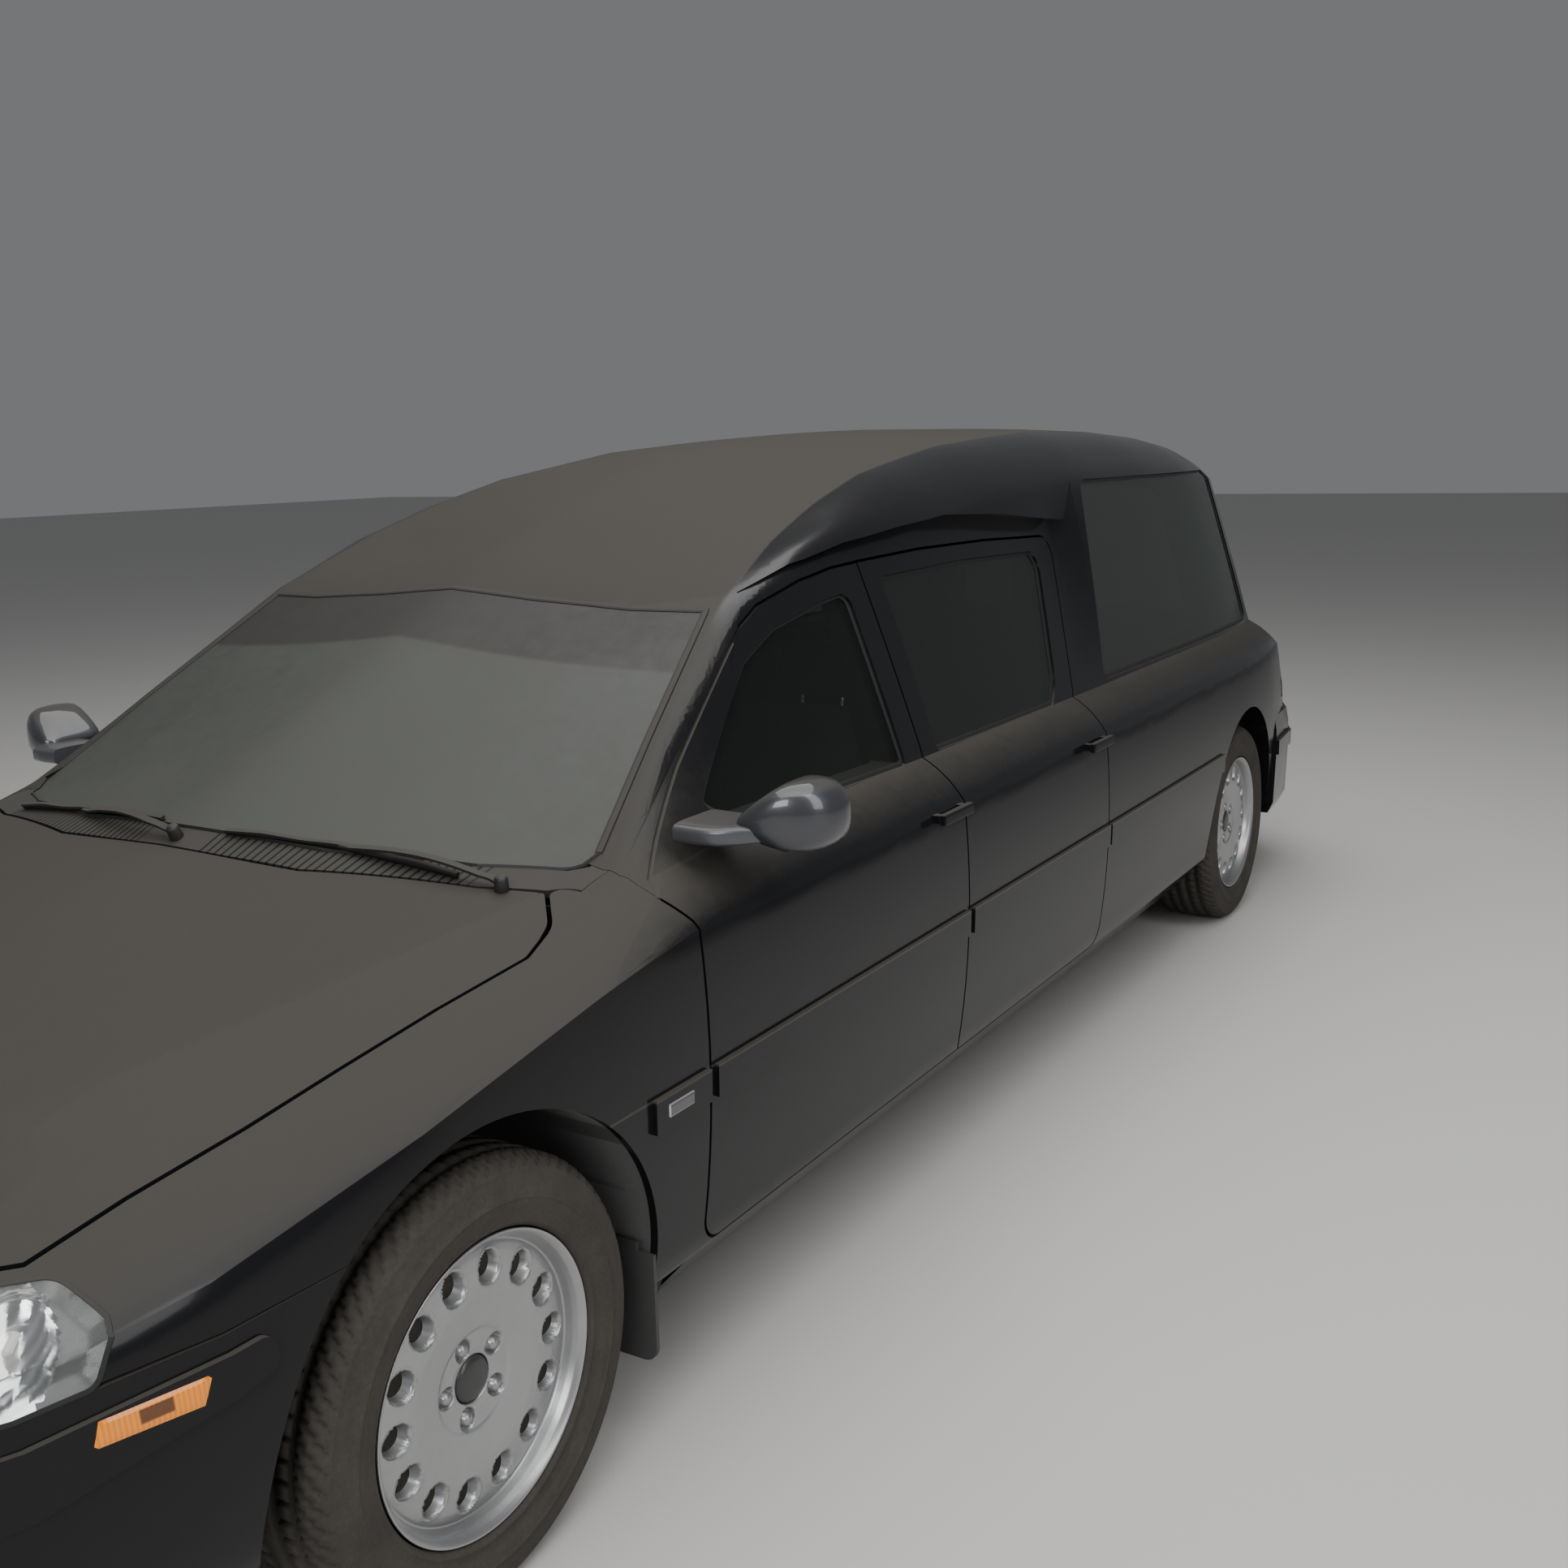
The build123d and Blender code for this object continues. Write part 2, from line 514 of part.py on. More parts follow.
with BuildPart() as rear_bumper:
    loft([bumper_outline(z, grow) for z, grow in BUMPER_LEVELS], ruled=True)
    extrude(bumper_outline(REAR_BAND[0], REAR_BAND_PROUD), amount=REAR_BAND[1] - REAR_BAND[0])
    box_at(4000, 4175, -WIDE, WIDE, 200, 700, Mode.SUBTRACT)
    plan_both(BUMPER_IN, 200, BUMPER_LEDGE, Mode.SUBTRACT)
    add(outer, mode=Mode.SUBTRACT)
    for y in (-PLATE_BOLTS / 2, PLATE_BOLTS / 2):
        with Locations(Plane(origin=(-LENGTH / 2, y, REAR_PLATE_Z), z_dir=(1, 0, 0))):
            Cylinder(PLATE_BOLT_R, 110, mode=Mode.SUBTRACT)
write(rear_bumper, "rear_bumper")

# Front frame: rails, cross members, lower arms with their ball joints, and strut towers,
# welded as one, with the towing eye's socket
KING_LOW = Vector(FRONT_X, 713, 214)
KING_HIGH = Vector(FRONT_X, 605, 771)
FLOOR = [(400, 200), (3200, 200), (3300, 460), (4440, 460), (4440, 490), (3285, 490), (3185, 236), (400, 236)]
with BuildPart() as frame_left:
    box_at(-800, 400, 370, 440, 350, 450)
    box_at(-150, 150, 0, 440, 215, 255)
    box_at(-150, -100, 370, 440, 255, 350)
    box_at(100, 150, 370, 440, 255, 350)
    box_at(-30, 30, 440, 738, 186, 204)
    box_at(-30, 30, 380, 440, 186, 215)
    box_at(-70, 70, 385, 405, 450, 785)
    box_at(-70, 70, 385, 650, 785, 800)
    with Locations(KING_LOW):
        Sphere(11)
    box_at(-860, -800, 0, 600, 400, 560)
    box_at(-936, -860, 0, 380, 420, 520)
with BuildPart() as front_frame:
    add(frame_left.part)
    mirror(frame_left.part, about=Plane.XZ)
    with Locations(Plane(origin=(LENGTH / 2 - 22, TOW_Y, TOW_Z), z_dir=(1, 0, 0))):
        Cylinder(16, 40)
        Cylinder(TOW_BORE_R, 90, mode=Mode.SUBTRACT)
write(front_frame, "front_frame")

# Floor pan: floor with its kick-up and tunnel, and the bulkhead
TUNNEL_HALF = 120.0
TUNNEL_TOP = 360.0
TUNNEL_WALL = 18.0
with BuildPart() as bulkhead:
    box_at(400, 436, -WIDE, WIDE, 200, 880)
    add(skin_in, mode=Mode.INTERSECT)
with BuildPart() as floor_pan:
    side_prism(FLOOR, -WIDE, WIDE)
    add(wall_in, mode=Mode.INTERSECT)
    box_at(440, 3240, -TUNNEL_HALF, TUNNEL_HALF, 236, TUNNEL_TOP)
    add(bulkhead.part)
    box_at(380, 3300, TUNNEL_WALL - TUNNEL_HALF, TUNNEL_HALF - TUNNEL_WALL, 180, TUNNEL_TOP - TUNNEL_WALL,
           Mode.SUBTRACT)
    disc(WHEELBASE, TYRE_RADIUS, ARCH_RADIUS + 12, 555, WIDE, Mode.SUBTRACT)
    disc(WHEELBASE, TYRE_RADIUS, ARCH_RADIUS + 12, -WIDE, -555, Mode.SUBTRACT)
write(floor_pan, "floor_pan")

# Engine: one closed mass on the front cross member
with BuildPart() as engine:
    box_at(-450, 150, -260, 260, 255, 740)
write(engine, "engine")

# Wheel housings: arched liners over the front wheels, tubs over the rear ones, and mud flaps
MUD_FLAP = [(700, 155), (893, 155, 25), (893, 340), (700, 340)]
with BuildPart() as housing_left:
    disc(0, TYRE_RADIUS, ARCH_RADIUS + 8, 455, WIDE)
    disc(0, TYRE_RADIUS, ARCH_RADIUS, 455, WIDE, Mode.SUBTRACT)
    box_at(-500, 500, 0, WIDE, -100, 250, Mode.SUBTRACT)
    box_at(-45, 45, 540, 690, 650, 760, Mode.SUBTRACT)
    add(skin_in, mode=Mode.INTERSECT)
    cross_prism(MUD_FLAP, 376, 384)
    box_at(376, 390, 700, 860, 250, 355)
with BuildPart() as tub_left:
    disc(WHEELBASE, TYRE_RADIUS, ARCH_RADIUS + 12, 560, WIDE)
    disc(WHEELBASE, TYRE_RADIUS, ARCH_RADIUS, 572, WIDE, Mode.SUBTRACT)
    box_at(3300, 4200, 0, WIDE, -100, 250, Mode.SUBTRACT)
    box_at(3680, 3800, 540, 600, 200, 400, Mode.SUBTRACT)
    add(wall_in, mode=Mode.INTERSECT)
with BuildPart() as wheel_housings:
    add(housing_left.part)
    add(tub_left.part)
    mirror(housing_left.part, about=Plane.XZ)
    mirror(tub_left.part, about=Plane.XZ)
write(wheel_housings, "wheel_housings")

# Rear axle: beam with trailing arms, spring columns and wheel stubs
with BuildPart() as rear_axle:
    disc(WHEELBASE, TYRE_RADIUS, 32, -690, 690)
    for side in (-1, 1):
        y0, y1 = sorted((side * 660, side * 792))
        disc(WHEELBASE, TYRE_RADIUS, 55, y0, y1)
        y0, y1 = sorted((side * 660, side * 827))
        disc(WHEELBASE, TYRE_RADIUS, 29.7, y0, y1)
        y0, y1 = sorted((side * 470, side * 530))
        box_at(3340, 3740, y0, y1, 285, 325)
        box_at(3340, 3380, y0, y1, 285, 460)
        box_at(3715, 3765, y0, y1, 325, 460)
write(rear_axle, "rear_axle")

# Exhaust: pipe down the tunnel, silencer across the tail and a tail pipe
with BuildPart() as exhaust:
    with BuildLine() as run:
        FilletPolyline(*[(FRONT_X - s, 0, z) for s, z in ((150, 300), (460, 300), (700, 235), (4210, 235))],
                       radius=200)
    with BuildSketch(Plane(origin=(FRONT_X - 150, 0, 300), z_dir=(-1, 0, 0))):
        Circle(28)
    sweep()
    box_at(4200, 4480, -220, 220, 175, 330)
    with BuildSketch(Plane.YZ.offset(FRONT_X - 4800)):
        with Locations((120, 190)):
            Circle(22)
    extrude(amount=325)
    box_at(4320, 4345, -200, -180, 330, 460)
    box_at(4320, 4345, 180, 200, 330, 460)
write(exhaust, "exhaust")

# Dashboard with the steering column's shroud
WHEEL_CENTRE = (1030, 800)
COLUMN_TILT = 25.0
STEER_SIDE = 370.0
column_plane = Plane(
    origin=(FRONT_X - WHEEL_CENTRE[0], STEER_SIDE, WHEEL_CENTRE[1]),
    x_dir=(0, 1, 0),
    z_dir=(-cos(radians(COLUMN_TILT)), 0, sin(radians(COLUMN_TILT))),
)
with BuildPart() as dashboard:
    side_prism([(436, 560), (436, 870), (560, 925), (760, 915), (840, 850), (830, 700), (760, 560)],
               -WIDE, WIDE)
    add(wall_in, mode=Mode.INTERSECT)
    with BuildSketch(column_plane.offset(-45)):
        Circle(32)
    extrude(amount=-220)
write(dashboard, "dashboard")

# Steering wheel: padded rim, hub and three spokes
with BuildPart() as steering_wheel:
    with BuildSketch(Plane(column_plane.origin, x_dir=column_plane.z_dir, z_dir=(0, -1, 0))) as rim_cut:
        with Locations((0, 182)):
            RegularPolygon(15, 8)
    revolve(rim_cut.sketch, axis=Axis(column_plane.origin, column_plane.z_dir))
    with BuildSketch(column_plane.offset(-40)):
        Circle(44)
    extrude(amount=42)
    with BuildSketch(column_plane.offset(-14)):
        Rectangle(350, 34)
        with Locations((0, -90)):
            Rectangle(34, 176)
    extrude(amount=14)
write(steering_wheel, "steering_wheel")

# Seats: two in front, a bench behind
FRONT_SEAT = [(1300, 236), (1640, 236), (1640, 370), (1730, 380), (1905, 1000), (1912, 1120), (1850, 1125),
              (1828, 1000), (1700, 520), (1400, 505), (1262, 515), (1240, 430), (1300, 370)]
REAR_SEAT = [(2100, 236), (2440, 236), (2450, 380), (2610, 930), (2560, 950), (2400, 510), (2040, 515),
             (2030, 420), (2100, 360)]
with BuildPart() as front_seats:
    side_prism(FRONT_SEAT, 140, 600)
    side_prism(FRONT_SEAT, -600, -140)
write(front_seats, "front_seats")
with BuildPart() as rear_seat:
    side_prism(REAR_SEAT, -600, 600)
    box_at(2000, 2700, -124, 124, 200, 364, Mode.SUBTRACT)
write(rear_seat, "rear_seat")

# Load deck: flat platform with its skirts, drilled for a bier
BIER_STATION = 3500.0
BIER_LONG = 1400.0
BIER_WIDE = 600.0
BIER_BOLT_R = 5.5
DECK_RAIL_TOP = 642.0
DECK_ROLLERS = (2720, 3160, 3500, 3840, 4330)
DECK_ROLLER_R = 14.0
with BuildPart() as load_deck:
    box_at(2640, 4400, -545, 545, 590, 625)
    box_at(2640, 2665, -545, 545, 236, 590)
    for y0, y1 in ((-545, -520), (520, 545)):
        side_prism([(2640, 236), (3185, 236), (3285, 490), (4400, 490), (4400, 590), (2640, 590)], y0, y1)
    box_at(2600, 2700, -124, 124, 200, 364, Mode.SUBTRACT)
    for y0, y1 in ((-470, -452), (452, 470)):
        box_at(2660, 4380, y0, y1, 615, DECK_RAIL_TOP)
    for s in DECK_ROLLERS:
        disc(s, 625, DECK_ROLLER_R, -410, 410)
    for s in (BIER_STATION - BIER_LONG / 2, BIER_STATION + BIER_LONG / 2):
        for y in (-BIER_WIDE / 2, BIER_WIDE / 2):
            with Locations((FRONT_X - s, y, 607)):
                Cylinder(BIER_BOLT_R, 60, mode=Mode.SUBTRACT)
write(load_deck, "load_deck")

# Wipers: two arms parked along the foot of the windscreen
with BuildPart() as wiper_plan:
    plan_prism([(284, 100), (346, 560), (366, 560), (312, 100)], 700, 1300)
    plan_prism([(348, -560), (288, -60), (312, -60), (371, -560)], 700, 1300)
with BuildPart() as wipers:
    add(proud)
    add(wiper_plan.part, mode=Mode.INTERSECT)
    add(outer, mode=Mode.SUBTRACT)
write(wipers, "wipers")

# Door mirrors: a rounded housing on a short arm at the front corner of the window, with a
# shallow pocket at the back for the mirror glass
MIRROR_PLAN = [(648, 905, 24), (668, 985, 60), (712, 1034, 50), (790, 1040, 24), (778, 905, 24)]
MIRROR_Z = (925.0, 1045.0)
MIRROR_EDGE = 20.0
MIRROR_ARM = [(600, 790), (600, 880), (656, 940), (740, 940), (740, 790)]
with BuildPart() as mirror_left:
    plan_prism(MIRROR_PLAN, *MIRROR_Z)
    fillet(mirror_left.edges().group_by(Axis.Z)[0] + mirror_left.edges().group_by(Axis.Z)[-1], MIRROR_EDGE)
    box_at(772, 800, 935, 1012, MIRROR_Z[0] + MIRROR_EDGE, MIRROR_Z[1] - MIRROR_EDGE, Mode.SUBTRACT)
    plan_prism(MIRROR_ARM, 944, 978)
    add(outer, mode=Mode.SUBTRACT)
write(mirror_left, "mirror_left")
mirrored(mirror_left, "mirror_right")

# Steering knuckle: strut on the swivel axis, upright and wheel stub
king_plane = Plane(origin=KING_LOW, z_dir=(KING_HIGH - KING_LOW))
with BuildPart() as knuckle_left:
    with BuildSketch(king_plane):
        Circle(20)
    extrude(amount=(KING_HIGH - KING_LOW).length)
    with BuildSketch(king_plane.offset(240)):
        Circle(27)
    extrude(amount=(KING_HIGH - KING_LOW).length - 240)
    box_at(-34, 34, 652, 692, 240, 460)
    disc(0, TYRE_RADIUS, 55, 690, 803)
    disc(0, TYRE_RADIUS, 29.7, 690, 838)
    with Locations(KING_LOW):
        Sphere(11.6, mode=Mode.SUBTRACT)
write(knuckle_left, "knuckle_left")
mirrored(knuckle_left, "knuckle_right")

# Wheels: a cast rim with a ring of oval openings, and a road tyre
SCOOPS = 14
RIM = [(30, 20), (75, 20), (75, 50), (120, 46), (160, 40), (190, 40), (190, -84), (202, -95), (216, -95),
       (216, -86), (203.3, -84), (203.3, 84), (216, 86), (216, 95), (200, 95), (190, 80), (172, 66), (120, 70),
       (60, 60), (0, 60), (0, 52), (30, 52)]
TYRE_HALF = [(203.6, 83.5), (216.6, 85.5), (217.5, 94), (262, 107.5), (305, 99), (321.5, 74)]
WHEELS = (
    ("front_left", 0, FRONT_WHEEL_Y),
    ("front_right", 0, -FRONT_WHEEL_Y),
    ("rear_left", WHEELBASE, REAR_WHEEL_Y),
    ("rear_right", WHEELBASE, -REAR_WHEEL_Y),
)
for name, station, y in WHEELS:
    side = 1 if y > 0 else -1
    hub = Plane(origin=(FRONT_X - station, y, TYRE_RADIUS), x_dir=(1, 0, 0), z_dir=(0, 0, 1))
    spin = Axis(hub.origin, (0, 1, 0))
    with BuildPart() as rim:
        with BuildSketch(hub) as rim_cut:
            with BuildLine():
                Polyline([(r, side * w) for r, w in RIM], close=True)
            make_face()
        revolve(rim_cut.sketch, axis=spin)
        with BuildSketch(Plane(origin=hub.origin, x_dir=(1, 0, 0), z_dir=(0, side, 0))) as scoops:
            with PolarLocations(150, SCOOPS):
                Ellipse(15, 22)
        extrude(scoops.sketch, amount=100, mode=Mode.SUBTRACT)
    write(rim, "rim_" + name)
    with BuildPart() as tyre:
        with BuildSketch(hub) as tyre_cut:
            with BuildLine():
                Polyline(TYRE_HALF + [(r, -w) for r, w in reversed(TYRE_HALF)], close=True)
            make_face()
        revolve(tyre_cut.sketch, axis=spin)
    write(tyre, "tyre_" + name)
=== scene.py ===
import json
import math

import bmesh
import bpy
import numpy as np
from mathutils import Matrix, Vector
from mathutils.bvhtree import BVHTree
from mathutils.kdtree import KDTree


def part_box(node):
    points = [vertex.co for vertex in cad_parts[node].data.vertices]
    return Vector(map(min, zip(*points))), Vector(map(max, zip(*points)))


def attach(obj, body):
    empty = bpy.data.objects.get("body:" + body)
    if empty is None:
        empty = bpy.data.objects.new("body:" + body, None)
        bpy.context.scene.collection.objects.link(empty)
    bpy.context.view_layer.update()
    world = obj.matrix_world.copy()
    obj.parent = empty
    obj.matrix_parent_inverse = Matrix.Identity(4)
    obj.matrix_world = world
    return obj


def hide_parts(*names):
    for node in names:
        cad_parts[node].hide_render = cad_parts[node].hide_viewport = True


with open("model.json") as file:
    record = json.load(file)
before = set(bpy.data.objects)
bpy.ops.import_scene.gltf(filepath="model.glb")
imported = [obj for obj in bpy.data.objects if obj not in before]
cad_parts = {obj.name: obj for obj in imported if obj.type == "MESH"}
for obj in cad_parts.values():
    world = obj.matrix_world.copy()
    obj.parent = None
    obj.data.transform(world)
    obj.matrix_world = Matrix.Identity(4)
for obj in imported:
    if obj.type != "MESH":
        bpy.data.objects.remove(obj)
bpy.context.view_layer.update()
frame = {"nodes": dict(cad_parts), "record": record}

# Camera: stands ahead of the left front wheel at a little over roof height and looks back along the
# car's left side, as the photograph does. Its place is given from the front axle.
FRONT_AXLE_X = 1.935
CAMERA_AHEAD, CAMERA_Y, CAMERA_Z = 1.516, 2.289, 1.585
CAMERA_YAW, CAMERA_PITCH, CAMERA_ROLL = math.radians(-149.0), math.radians(-11.87), math.radians(-1.3)
SENSOR = 36.0
PHOTO_SIDE = 1932
FOCAL_PIXELS = 2000
look = Vector((
    math.cos(CAMERA_PITCH) * math.cos(CAMERA_YAW),
    math.cos(CAMERA_PITCH) * math.sin(CAMERA_YAW),
    math.sin(CAMERA_PITCH),
))
level = look.cross(Vector((0, 0, 1))).normalized()
above = level.cross(look)
right = math.cos(CAMERA_ROLL) * level + math.sin(CAMERA_ROLL) * above
up = math.cos(CAMERA_ROLL) * above - math.sin(CAMERA_ROLL) * level
camera = bpy.data.objects.new("camera", bpy.data.cameras.new("camera"))
camera.data.lens = SENSOR * FOCAL_PIXELS / PHOTO_SIDE
camera.data.sensor_width = SENSOR
camera.matrix_world = Matrix.Translation((FRONT_AXLE_X + CAMERA_AHEAD, CAMERA_Y, CAMERA_Z)) @ Matrix(
    (right, up, -look)).transposed().to_4x4()
bpy.context.scene.collection.objects.link(camera)
bpy.context.scene.camera = camera

# Studio: a plain pale floor and large soft lamps overhead and to the sides, with a grey world that
# gives the gloss something to reflect.


class Socket:
    """One socket of a material. Sums on it add Math nodes to the material's tree."""

    def __init__(self, tree, socket):
        self.tree, self.socket = tree, socket

    def math(self, operation, *others, clamp=False):
        node = self.tree.nodes.new("ShaderNodeMath")
        node.operation = operation
        node.use_clamp = clamp
        for i, value in enumerate((self, *others)):
            if isinstance(value, Socket):
                self.tree.links.new(value.socket, node.inputs[i])
            else:
                node.inputs[i].default_value = value
        return Socket(self.tree, node.outputs[0])

    def __add__(self, other):
        return self.math("ADD", other)

    def __mul__(self, other):
        return self.math("MULTIPLY", other)

    def __sub__(self, other):
        return self.math("SUBTRACT", other)

    def __rsub__(self, other):
        return (self * -1.0) + other

    __radd__ = __add__
    __rmul__ = __mul__

    def clamp(self):
        return self.math("ADD", 0.0, clamp=True)

    def above(self, floor):
        return self.math("MAXIMUM", floor)


class Finish:
    """A material under construction: its shader's sockets by name, and the nodes that feed them."""

    def __init__(self, name, **constants):
        self.material = bpy.data.materials.new(name)
        self.material.use_nodes = True
        self.tree = self.material.node_tree
        self.shader = self.tree.nodes["Principled BSDF"]
        self.set(**constants)

    def set(self, **values):
        for key, value in values.items():
            socket = self.shader.inputs[key.replace("_", " ")]
            if isinstance(value, Socket):
                self.tree.links.new(value.socket, socket)
            else:
                socket.default_value = value

    def node(self, kind, settings=(), values=(), out=0):
        node = self.tree.nodes.new("ShaderNode" + kind)
        for key, value in dict(settings).items():
            setattr(node, key, value)
        for key, value in dict(values).items():
            if isinstance(value, Socket):
                self.tree.links.new(value.socket, node.inputs[key])
            else:
                node.inputs[key].default_value = value
        return Socket(self.tree, node.outputs[out])

    def axes(self):
        place = self.node("TexCoord", out="Object")
        return [self.node("SeparateXYZ", values={"Vector": place}, out=i) for i in range(3)]

    def facing(self):
        normal = self.node("TexCoord", out="Normal")
        return [self.node("SeparateXYZ", values={"Vector": normal}, out=i) for i in range(3)]

    def noise(self, scale, detail=4.0, rough=0.55):
        place = self.node("TexCoord", out="Object")
        return self.node("TexNoise", values={"Vector": place, "Scale": scale, "Detail": detail, "Roughness": rough})

    def mix(self, share, low, high):
        return self.node("Mix", {"data_type": "RGBA"}, {0: share, 6: low, 7: high}, out=2)

    def steps(self, value, low, high):
        values = {"Value": value, "From Min": low, "From Max": high}
        return self.node("MapRange", {"interpolation_type": "SMOOTHSTEP"}, values)

    def bump(self, height, strength, distance):
        self.set(Normal=self.node("Bump", values={"Height": height, "Strength": strength, "Distance": distance}))


FLOOR_SIDE = 40.0
floor_finish = Finish("floor_finish", Base_Color=(0.56, 0.55, 0.53, 1), Roughness=0.9)
floor = bpy.data.objects.new("floor", bpy.data.meshes.new("floor"))
floor.data.from_pydata(
    [(x * FLOOR_SIDE, y * FLOOR_SIDE, 0) for x, y in ((-1, -1), (1, -1), (1, 1), (-1, 1))], [], [(0, 1, 2, 3)])
floor.data.materials.append(floor_finish.material)
bpy.context.scene.collection.objects.link(floor)
world = bpy.data.worlds.new("world")
bpy.context.scene.world = world
world.use_nodes = True
world.node_tree.nodes["Background"].inputs["Color"].default_value = (0.80, 0.82, 0.85, 1)
world.node_tree.nodes["Background"].inputs["Strength"].default_value = 0.22
SOFT_BOXES = (
    # name, place, aim, size across, size along, watts
    ("overhead", (0.5, 0.5, 6.0), (0, 0, 0), 5.0, 9.0, 420),
    ("left_side", (2.0, 7.5, 4.5), (0.5, 0, 0.6), 2.5, 7.0, 200),
    ("ahead", (7.5, 3.0, 4.0), (1.5, 0, 0.8), 3.0, 3.0, 200),
)
for name, place, aim, across, along, watts in SOFT_BOXES:
    lamp = bpy.data.lights.new(name, "AREA")
    lamp.shape = "RECTANGLE"
    lamp.size, lamp.size_y, lamp.energy = across, along, watts
    holder = bpy.data.objects.new(name, lamp)
    holder.location = place
    holder.rotation_euler = (Vector(aim) - Vector(place)).to_track_quat("-Z", "Y").to_euler()
    bpy.context.scene.collection.objects.link(holder)

# Body panels: steel pressings and moulded bumpers, sprayed gloss black and hung with even gaps. Road dust
# lies on what faces up, ends at the roof's edges and thins down the shoulders; inside they are lined grey.
DUST = (0.060, 0.055, 0.047, 1)
PAINT = (0.0065, 0.0068, 0.0082, 1)
LINING = (0.100, 0.098, 0.095, 1)
GRID_STEP = 0.08
ALONG_STRETCH = 4.0
FLOW_REACH = 0.06
SAME_FACE = math.cos(math.radians(50))
BODY_OF = {node: body for body, nodes in frame["record"]["behaviour"]["bodies"].items() for node in nodes}
PAINTED = (
    "bonnet", "front_bumper", "front_wing_left", "front_wing_right", "body_side_left", "body_side_right",
    "roof", "rear_bumper", "tailgate", "door_front_left", "door_front_right", "door_rear_left",
    "door_rear_right",
)


def dusted(finish, clean, rough, cover=1.0, film=0.05, shed=0.0):
    """Dust on what faces up, broken by patches and speckle; shed is where it has slid off."""
    upward = finish.facing()[2]
    patches = finish.noise(2.6) * 0.5 + finish.noise(30.0, 6.0, 0.7) * 0.5
    speckle = finish.noise(520.0, 2.0, 0.6)
    settled = finish.steps(upward + (patches - 0.5) * 0.24, 0.56, 0.99) * (1.0 - shed * 0.93)
    dust = (settled * (0.62 + speckle * 0.45) * cover + patches * film * 2.0).clamp()
    finish.set(Roughness=dust * (0.88 - rough) + rough)
    colour = finish.mix(dust, clean, DUST)
    finish.set(Base_Color=colour)
    return dust, colour


def gridded(name, step=GRID_STEP):
    """The CAD node's form, cut by planes a step apart so that its shading can follow the surface."""
    form = bmesh.new()
    form.from_mesh(frame["nodes"][name].data)
    bmesh.ops.remove_doubles(form, verts=form.verts, dist=1e-5)
    for axis in range(3):
        reach = [vert.co[axis] for vert in form.verts]
        across = Vector([float(i == axis) for i in range(3)])
        for i in range(math.ceil(min(reach) / step), math.floor(max(reach) / step) + 1):
            whole = form.verts[:] + form.edges[:] + form.faces[:]
            bmesh.ops.bisect_plane(form, geom=whole, dist=1e-6, plane_co=across * i * step, plane_no=across)
    form.verts.index_update()
    form.faces.index_update()
    return form


def skin_of(name, form):
    mesh = bpy.data.meshes.new(name)
    form.to_mesh(mesh)
    return mesh


def smooth(mesh):
    mesh.polygons.foreach_set("use_smooth", [True] * len(mesh.polygons))
    return mesh


def flowing(forms, reach=FLOW_REACH):
    """Meshes whose shading runs smoothly over the joins between the CAD's ruled strips."""
    faces = [face for form in forms.values() for face in form.faces]
    tree = KDTree(len(faces))
    for i, face in enumerate(faces):
        middle = face.calc_center_median()
        tree.insert((middle.x / ALONG_STRETCH, middle.y, middle.z), i)
    tree.balance()
    normals = np.array([face.normal for face in faces])
    areas = np.array([face.calc_area() for face in faces])
    meshes = {}
    for name, form in forms.items():
        turned = {}
        for vert in form.verts:
            near = tree.find_range((vert.co.x / ALONG_STRETCH, vert.co.y, vert.co.z), reach)
            index = [i for _, i, _ in near]
            distance = np.array([d for _, _, d in near]) / reach
            own = np.array([face.normal for face in vert.link_faces])
            alike = np.clip(normals[index] @ own.T - SAME_FACE, 0, None)
            share = (areas[index] * (1 - distance ** 2) ** 2)[:, None] * alike
            blend = share.T @ normals[index] + own * 1e-9
            blend /= np.linalg.norm(blend, axis=1)[:, None]
            for face, normal in zip(vert.link_faces, blend):
                turned[face.index, vert.index] = normal.tolist()
        mesh = smooth(skin_of(name + "_skin", form))
        mesh.normals_split_custom_set([
            turned[face.index, mesh.loops[i].vertex_index] for face in mesh.polygons for i in face.loop_indices])
        meshes[name] = mesh
    return meshes


def shown(name, mesh, body, finish, slot, *stands_for):
    piece = bpy.data.objects.new(name, mesh)
    mesh.materials.append(finish.material)
    bpy.context.scene.collection.objects.link(piece)
    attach(piece, body)
    if stands_for:
        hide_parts(*stands_for)
    return piece


# The roof's ridge: how far from the middle it runs, and how it spreads ahead of one station and draws in
# behind another
RIDGE_HALF = 0.5
RIDGE_FRONT, RIDGE_SPREAD = 2.2, 0.0747
RIDGE_REAR, RIDGE_TAPER = 3.75, 0.147
STRIP_TOP, STRIP_SIDE = 0.6085, 0.900
paint = Finish("dusty_black_paint", Coat_Roughness=0.04, Specular_IOR_Level=0.20)
x, y, z = paint.axes()
station = FRONT_AXLE_X - x
ahead, behind = (RIDGE_FRONT - station).above(0.0), (station - RIDGE_REAR).above(0.0)
ridge = RIDGE_HALF + ahead * ahead * RIDGE_SPREAD - behind * behind * RIDGE_TAPER
beyond = paint.steps(y.math("ABSOLUTE") - ridge, -0.004, 0.008) * paint.steps(station, 0.98, 1.10)
dust, coloured = dusted(paint, PAINT, 0.14, 1.0, 0.03, beyond * paint.steps(z, 1.16, 1.22))
inward = paint.facing()[1] * y.math("SIGN") * -1.0
downward = paint.facing()[2] * -1.0
lined = paint.steps(inward, 0.3, 0.6) + paint.steps(downward, 0.5, 0.8) * paint.steps(z, 1.2, 1.3)
ledge = paint.steps((z - STRIP_TOP).math("ABSOLUTE"), 0.0030, 0.0012) * paint.steps(
    y.math("ABSOLUTE"), STRIP_SIDE, STRIP_SIDE + 0.003)
